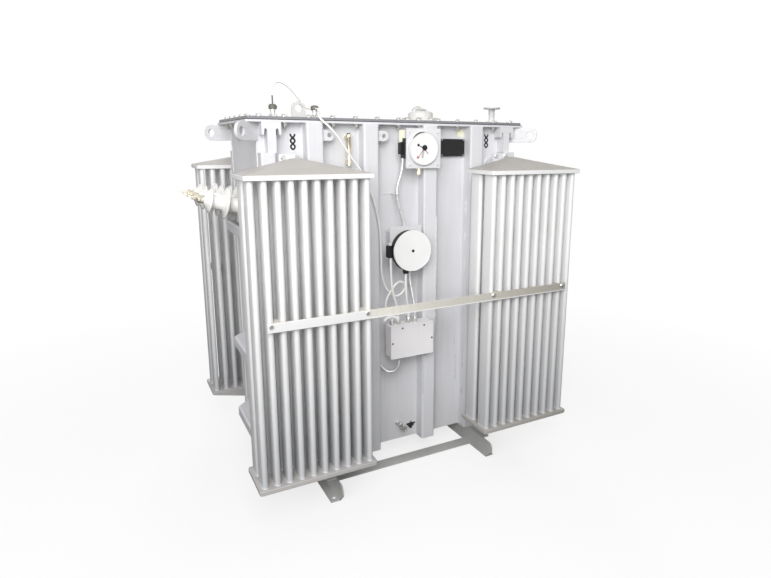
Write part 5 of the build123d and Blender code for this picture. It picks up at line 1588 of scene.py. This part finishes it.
@dataclass
class Lead:
    """One lead that clips and housings hold all the way."""

    name: str
    node: str
    slot: Slot
    radius: float
    points: Sequence[Point]
    reference: Point = REAR
    rib_pitch: float = 0.0

    def route(self) -> Array:
        """Return points along the smooth spline that the listed points control, in metres."""
        curve = bpy.data.curves.new(self.name + "_route", "CURVE")
        curve.dimensions = "3D"
        curve.resolution_u = 14
        spline = curve.splines.new("NURBS")
        spline.points.add(len(self.points) - 1)
        flat = np.column_stack([np.array(self.points) * MM, np.ones(len(self.points))])
        spline.points.foreach_set("co", flat.ravel())
        spline.order_u = 3
        spline.use_endpoint_u = True
        holder = bpy.data.objects.new(curve.name, curve)
        line = bpy.data.meshes.new_from_object(holder)
        found = np.zeros(len(line.vertices) * 3)
        line.vertices.foreach_get("co", found)
        bpy.data.objects.remove(holder)
        bpy.data.curves.remove(curve)
        bpy.data.meshes.remove(line)
        return found.reshape(-1, 3)

    def shell(self) -> Shell:
        """Carry the section along the route, with ribs r (0.96 + 0.06 cos(2 pi s / pitch)) on a metal hose."""
        path = self.route()
        steps = np.linalg.norm(np.diff(path, axis=0), axis=1)
        run = np.concatenate([[0], np.cumsum(steps)])
        spacing = (self.rib_pitch / 4 if self.rib_pitch else 5.0) * MM
        even = np.linspace(0, run[-1], max(int(run[-1] / spacing), 12))
        path = np.column_stack([np.interp(even, run, path[:, axis]) for axis in range(3)])
        radii = np.full(len(path), self.radius * MM)
        if self.rib_pitch:
            radii *= 0.96 + 0.06 * np.cos(2 * pi * even / (self.rib_pitch * MM))
        return tube(path, radii, 10, self.reference)


@dataclass
class Wiring:
    """The capillary, the leads, the conduit and their clips; routes are points listed in millimetres."""

    shop: PaintShop
    clips: tuple[tuple[float, ...], ...] = ((-26.0, -298.0, 1283.0, -38.0), (37.0, -306.0, 868.0, 26.0))
    clip_radius: float = 8.2
    clip_half: float = 4.0
    clip_edge: float = 0.6
    clip_foot: float = 9.0
    clip_arm: float = 7.0
    clip_sheet: float = 2.0

    def leads(self) -> list[Lead]:
        """List the leads that stand for CAD nodes."""
        capillary = [
            (-515, -150, 1654), (-515, -150, 1704), (-507.9, -150, 1738), (-473.9, -150, 1742),
            (-433.9, -150, 1712), (-398, -150, 1668), (-379.3, -150, 1639), (-355.3, -150, 1639),
        ]
        cover = [
            (-338, -167.3, 1639), (-338, -191.3, 1639), (-355.9, -244, 1626), (-372, -298, 1598),
            (-331, -306, 1564), (-289, -308, 1516), (-248, -310, 1450), (-199, -312, 1390),
            (-162, -316, 1310), (-132, -318, 1220), (-116, -316, 1120), (-111, -313, 1024),
            (-110, -311, 936), (-85, -310, 861), (-32, -312, 820), (15, -320, 872), (-30, -326, 910),
            (-82, -328, 852), (-105, -328, 794), (-68, -330, 748), (-68, -330, 724),
        ]
        upper = [
            (2, -297, 1439), (2, -297, 1391), (-30, -298, 1310), (-24, -298, 1250),
            (-4, -298, 1190), (14, -298, 1120), (26, -298, 1040), (32, -300, 950),
            (38, -306, 870), (48, -330, 772), (48, -330, 724),
        ]
        left = [
            (-76.5, -337, 1022), (-76.5, -337, 937), (-68, -336, 860), (-48, -333, 800),
            (-36, -330, 748), (-36, -330, 724),
        ]
        plug = [(-3, -337, 936), (-3, -337, 888), (3, -335, 822), (15, -330, 748), (15, -330, 724)]
        conduit = [
            (-32, -330, 536), (-32, -330, 505), (-44, -318, 478), (-70, -302, 470),
            (-94, -288, 486), (-109, -284, 512),
        ]
        return [
            Lead("capillary_tube", "pocket_capillary", Slot.CAPILLARY, 2.5, capillary),
            Lead("cover_lead_sheath", "cover_lead", Slot.WHITE_LEAD, 4.6, cover, (1.0, 0.0, 0.35)),
            Lead("upper_gauge_hose", "upper_gauge_lead", Slot.METAL_LEAD, 6.3, upper, rib_pitch=7.0),
            Lead("lower_gauge_left_sheath", "lower_gauge_leads", Slot.WHITE_LEAD, 5.2, left),
            Lead("lower_gauge_plug_sheath", "lower_gauge_leads", Slot.WHITE_LEAD, 5.2, plug),
            Lead("bottom_conduit_hose", "bottom_conduit", Slot.METAL_LEAD, 7.0, conduit, (0.3, 0.2, 1.0), 7.0),
        ]

    def sleeves(self) -> list[Lead]:
        """List the bent white sleeve of two sheaths at the box and the dark guard on the capillary's knob."""
        inlet = [(-106, -329, 728), (-92, -330, 742), (-66, -330, 744), (-40, -330, 734), (-34, -330, 708)]
        guard = [(-515, -150, 1650), (-515, -150, 1669), (-515, -150, 1688)]
        return [
            Lead("box_inlet_sleeve", "", Slot.WHITE_LEAD, 7.5, inlet),
            Lead("capillary_bend_guard", "", Slot.KNOB, 3.0, guard),
        ]

    def build_clips(self) -> None:
        """Hold the gauge hose at two heights: a ring round it and a strap that stands off the wall."""
        wall_y = node_box("tank_wall_front").low[1]
        outer, inner, half = self.clip_radius, self.clip_radius - self.clip_edge, self.clip_half
        ring = lathe([(inner, -half), (outer, 1 - half), (outer, half - 1), (inner, half)], 24)
        rings, straps = [], []
        for x, y, z, reach in self.clips:
            rings.append(ring.moved((x * MM, y * MM, z * MM)))
            stand = abs(y) + wall_y / MM
            middle = (x + reach / 2, wall_y / MM, z)
            foot = Block(abs(reach) + 12.0, self.clip_foot, self.clip_sheet, middle, 2.0, 0.4)
            arm = slab(self.clip_arm, stand, self.clip_sheet, 1.0, 0.3)
            arm = arm.moved((x * MM, (y + stand / 2) * MM, (z - self.clip_sheet / 2) * MM))
            straps += [foot.shell(), arm]
        self.shop.piece("hose_clip_rings", joined(rings), Slot.ZINC)
        self.shop.piece("hose_clip_straps", joined(straps), Slot.TANK)

    def build_leads(self, leads: Iterable[Lead]) -> None:
        """Build leads as pieces, each in place of its CAD node where it has one."""
        for lead in leads:
            self.shop.piece(lead.name, lead.shell(), lead.slot, [lead.node] if lead.node else ())

    def build(self) -> None:
        """Build the leads, the clips of the hose and the sleeves."""
        self.build_leads(self.leads())
        self.build_clips()
        self.build_leads(self.sleeves())


# Studio


@dataclass(frozen=True)
class Lamp:
    """A square soft lamp: its place and side in metres and its power in watts."""

    name: str
    where: Point
    size: float
    power: float

    def hang(self, target: Point) -> None:
        """Hang the lamp out of the camera's sight.

        Args:
            target: the point that it faces, in metres.
        """
        data = bpy.data.lights.new(self.name, "AREA")
        data.size = self.size
        data.energy = self.power
        lamp = bpy.data.objects.new(self.name, data)
        lamp.visible_camera = False
        lamp.location = self.where
        lamp.rotation_euler = (Vector(target) - Vector(self.where)).to_track_quat("-Z", "Y").to_euler()
        bpy.context.scene.collection.objects.link(lamp)


@dataclass
class Studio:
    """A pale floor, a white surround, soft lamps and the camera of the photograph."""

    eye: Point = (-1.1580, -2.5608, 1.5011)
    yaw: float = 28.604
    pitch: float = 11.954
    roll: float = 0.376
    sensor: float = 36.0
    lens: float = 27.01
    shift: tuple[float, float] = (-0.0411, -0.0300)
    view_depth: float = 200.0
    floor_size: float = 60.0
    floor_glow: float = 0.75
    floor_fade: tuple[float, float] = (1.3, 3.2)
    floor_seen: str = "#F4F4F4"
    floor_bounce: str = "#707070"
    white: str = "#FFFFFF"
    sky_strength: float = 0.42
    middle: Point = (0.0, 0.0, 0.85)
    lamps: tuple[Lamp, ...] = (
        Lamp("key_softbox", (-1.3, -3.4, 3.4), 1.8, 78.0),
        Lamp("front_softbox", (-1.5, -3.4, 2.0), 1.4, 31.0),
        Lamp("left_softbox", (-3.4, -3.6, 2.2), 2.0, 84.0),
        Lamp("rear_softbox", (1.5, 4.8, 2.6), 2.4, 120.0),
    )

    def camera(self) -> None:
        """Stand the camera where the photograph was taken from."""
        yaw, pitch, roll = radians(self.yaw), radians(self.pitch), radians(self.roll)
        ahead = Vector((sin(yaw) * cos(pitch), cos(yaw) * cos(pitch), -sin(pitch)))
        right = Vector((cos(yaw), -sin(yaw), 0.0))
        up = right.cross(ahead)
        turned_right = right * cos(roll) + up * sin(roll)
        turned_up = up * cos(roll) - right * sin(roll)
        data = bpy.data.cameras.new("photo_view")
        data.sensor_width = self.sensor
        data.lens = self.lens
        data.shift_x, data.shift_y = self.shift
        data.clip_end = self.view_depth
        camera = bpy.data.objects.new("photo_view", data)
        turn = Matrix((turned_right, turned_up, -ahead)).transposed().to_4x4()
        camera.matrix_world = Matrix.Translation(self.eye) @ turn
        bpy.context.scene.collection.objects.link(camera)
        bpy.context.scene.camera = camera

    def floor_material(self) -> bpy.types.Material:
        """Build the floor's material: a pale matt coat that glows white to the camera away from the object."""
        material, tree = new_tree("pale_floor")
        to_camera = add_node(tree, "ShaderNodeLightPath").outputs["Is Camera Ray"]
        spot = add_node(tree, "ShaderNodeTexCoord").outputs["Object"]
        away = add_node(tree, "ShaderNodeVectorMath", {0: spot}, operation="LENGTH").outputs["Value"]
        fade = window(away, self.floor_fade, (self.floor_glow, 1.0))
        bare = add_node(tree, "ShaderNodeMapRange", fade).outputs["Result"]
        seen = add_node(tree, "ShaderNodeMath", {0: to_camera, 1: bare}, operation="MULTIPLY")
        coats = {0: to_camera, 6: linear(self.floor_bounce), 7: linear(self.floor_seen)}
        tone = add_node(tree, "ShaderNodeMix", coats, data_type="RGBA").outputs[2]
        matt = add_node(tree, "ShaderNodeBsdfDiffuse", {"Color": tone})
        glow = add_node(tree, "ShaderNodeEmission", {"Color": linear(self.white), "Strength": 1.0})
        mixed = add_node(tree, "ShaderNodeMixShader", {0: seen.outputs[0], 1: matt.outputs[0], 2: glow.outputs[0]})
        add_node(tree, "ShaderNodeOutputMaterial", {"Surface": mixed.outputs[0]})
        return material

    def floor(self) -> None:
        """Lay a pale floor that shows white to the camera and keeps a soft shadow."""
        half = self.floor_size / 2
        corners = [(-half, -half, 0), (half, -half, 0), (half, half, 0), (-half, half, 0)]
        mesh = bpy.data.meshes.new("studio_floor")
        mesh.from_pydata(corners, [], [(0, 1, 2, 3)])
        mesh.materials.append(self.floor_material())
        floor = bpy.data.objects.new("studio_floor", mesh)
        bpy.context.scene.collection.objects.link(floor)

    def surround(self) -> None:
        """Light the scene softly from all round, and show white behind the object."""
        world = bpy.data.worlds.new("surround")
        world.use_nodes = True
        tree = world.node_tree
        tree.nodes.clear()
        path = add_node(tree, "ShaderNodeLightPath").outputs
        straight = {0: path["Is Camera Ray"], 1: path["Is Glossy Ray"]}
        seen = add_node(tree, "ShaderNodeMath", straight, operation="MAXIMUM").outputs[0]
        through = {0: seen, 1: path["Is Transmission Ray"]}
        seen = add_node(tree, "ShaderNodeMath", through, operation="MAXIMUM").outputs[0]
        soft, bright = (
            add_node(tree, "ShaderNodeBackground", {"Color": linear(self.white), "Strength": strength}).outputs[0]
            for strength in (self.sky_strength, 1.0)
        )
        mixed = add_node(tree, "ShaderNodeMixShader", {0: seen, 1: soft, 2: bright}).outputs[0]
        add_node(tree, "ShaderNodeOutputWorld", {"Surface": mixed})
        bpy.context.scene.world = world

    def build(self) -> None:
        """Set up the studio."""
        bpy.context.scene.view_settings.view_transform = "Standard"
        self.camera()
        self.floor()
        self.surround()
        for lamp in self.lamps:
            lamp.hang(self.middle)


def main() -> None:
    """Build the sub-assemblies in order."""
    logging.basicConfig(level=logging.INFO, format="%(message)s")
    shop = PaintShop()
    shop.dress_nodes()
    shop.soften(["cover_plate", "rim_flange", "lifting_lugs", "sling_cleats", "eye_plates", "cover_eyes"], 1.2)
    shop.soften(["upper_gauge_plate", "lower_gauge_bracket", "junction_box_lid", "radiator_braces"], 0.8)
    shop.soften([name for name in frame["nodes"] if name.endswith("_headers")], 1.6)
    for sub_assembly in (Radiators, TankDressing, Bushings, CoverFittings, Instruments, Wiring):
        LOG.info("building %s", sub_assembly.__name__)
        sub_assembly(shop).build()
    Studio().build()


if __name__ == "__main__":
    main()
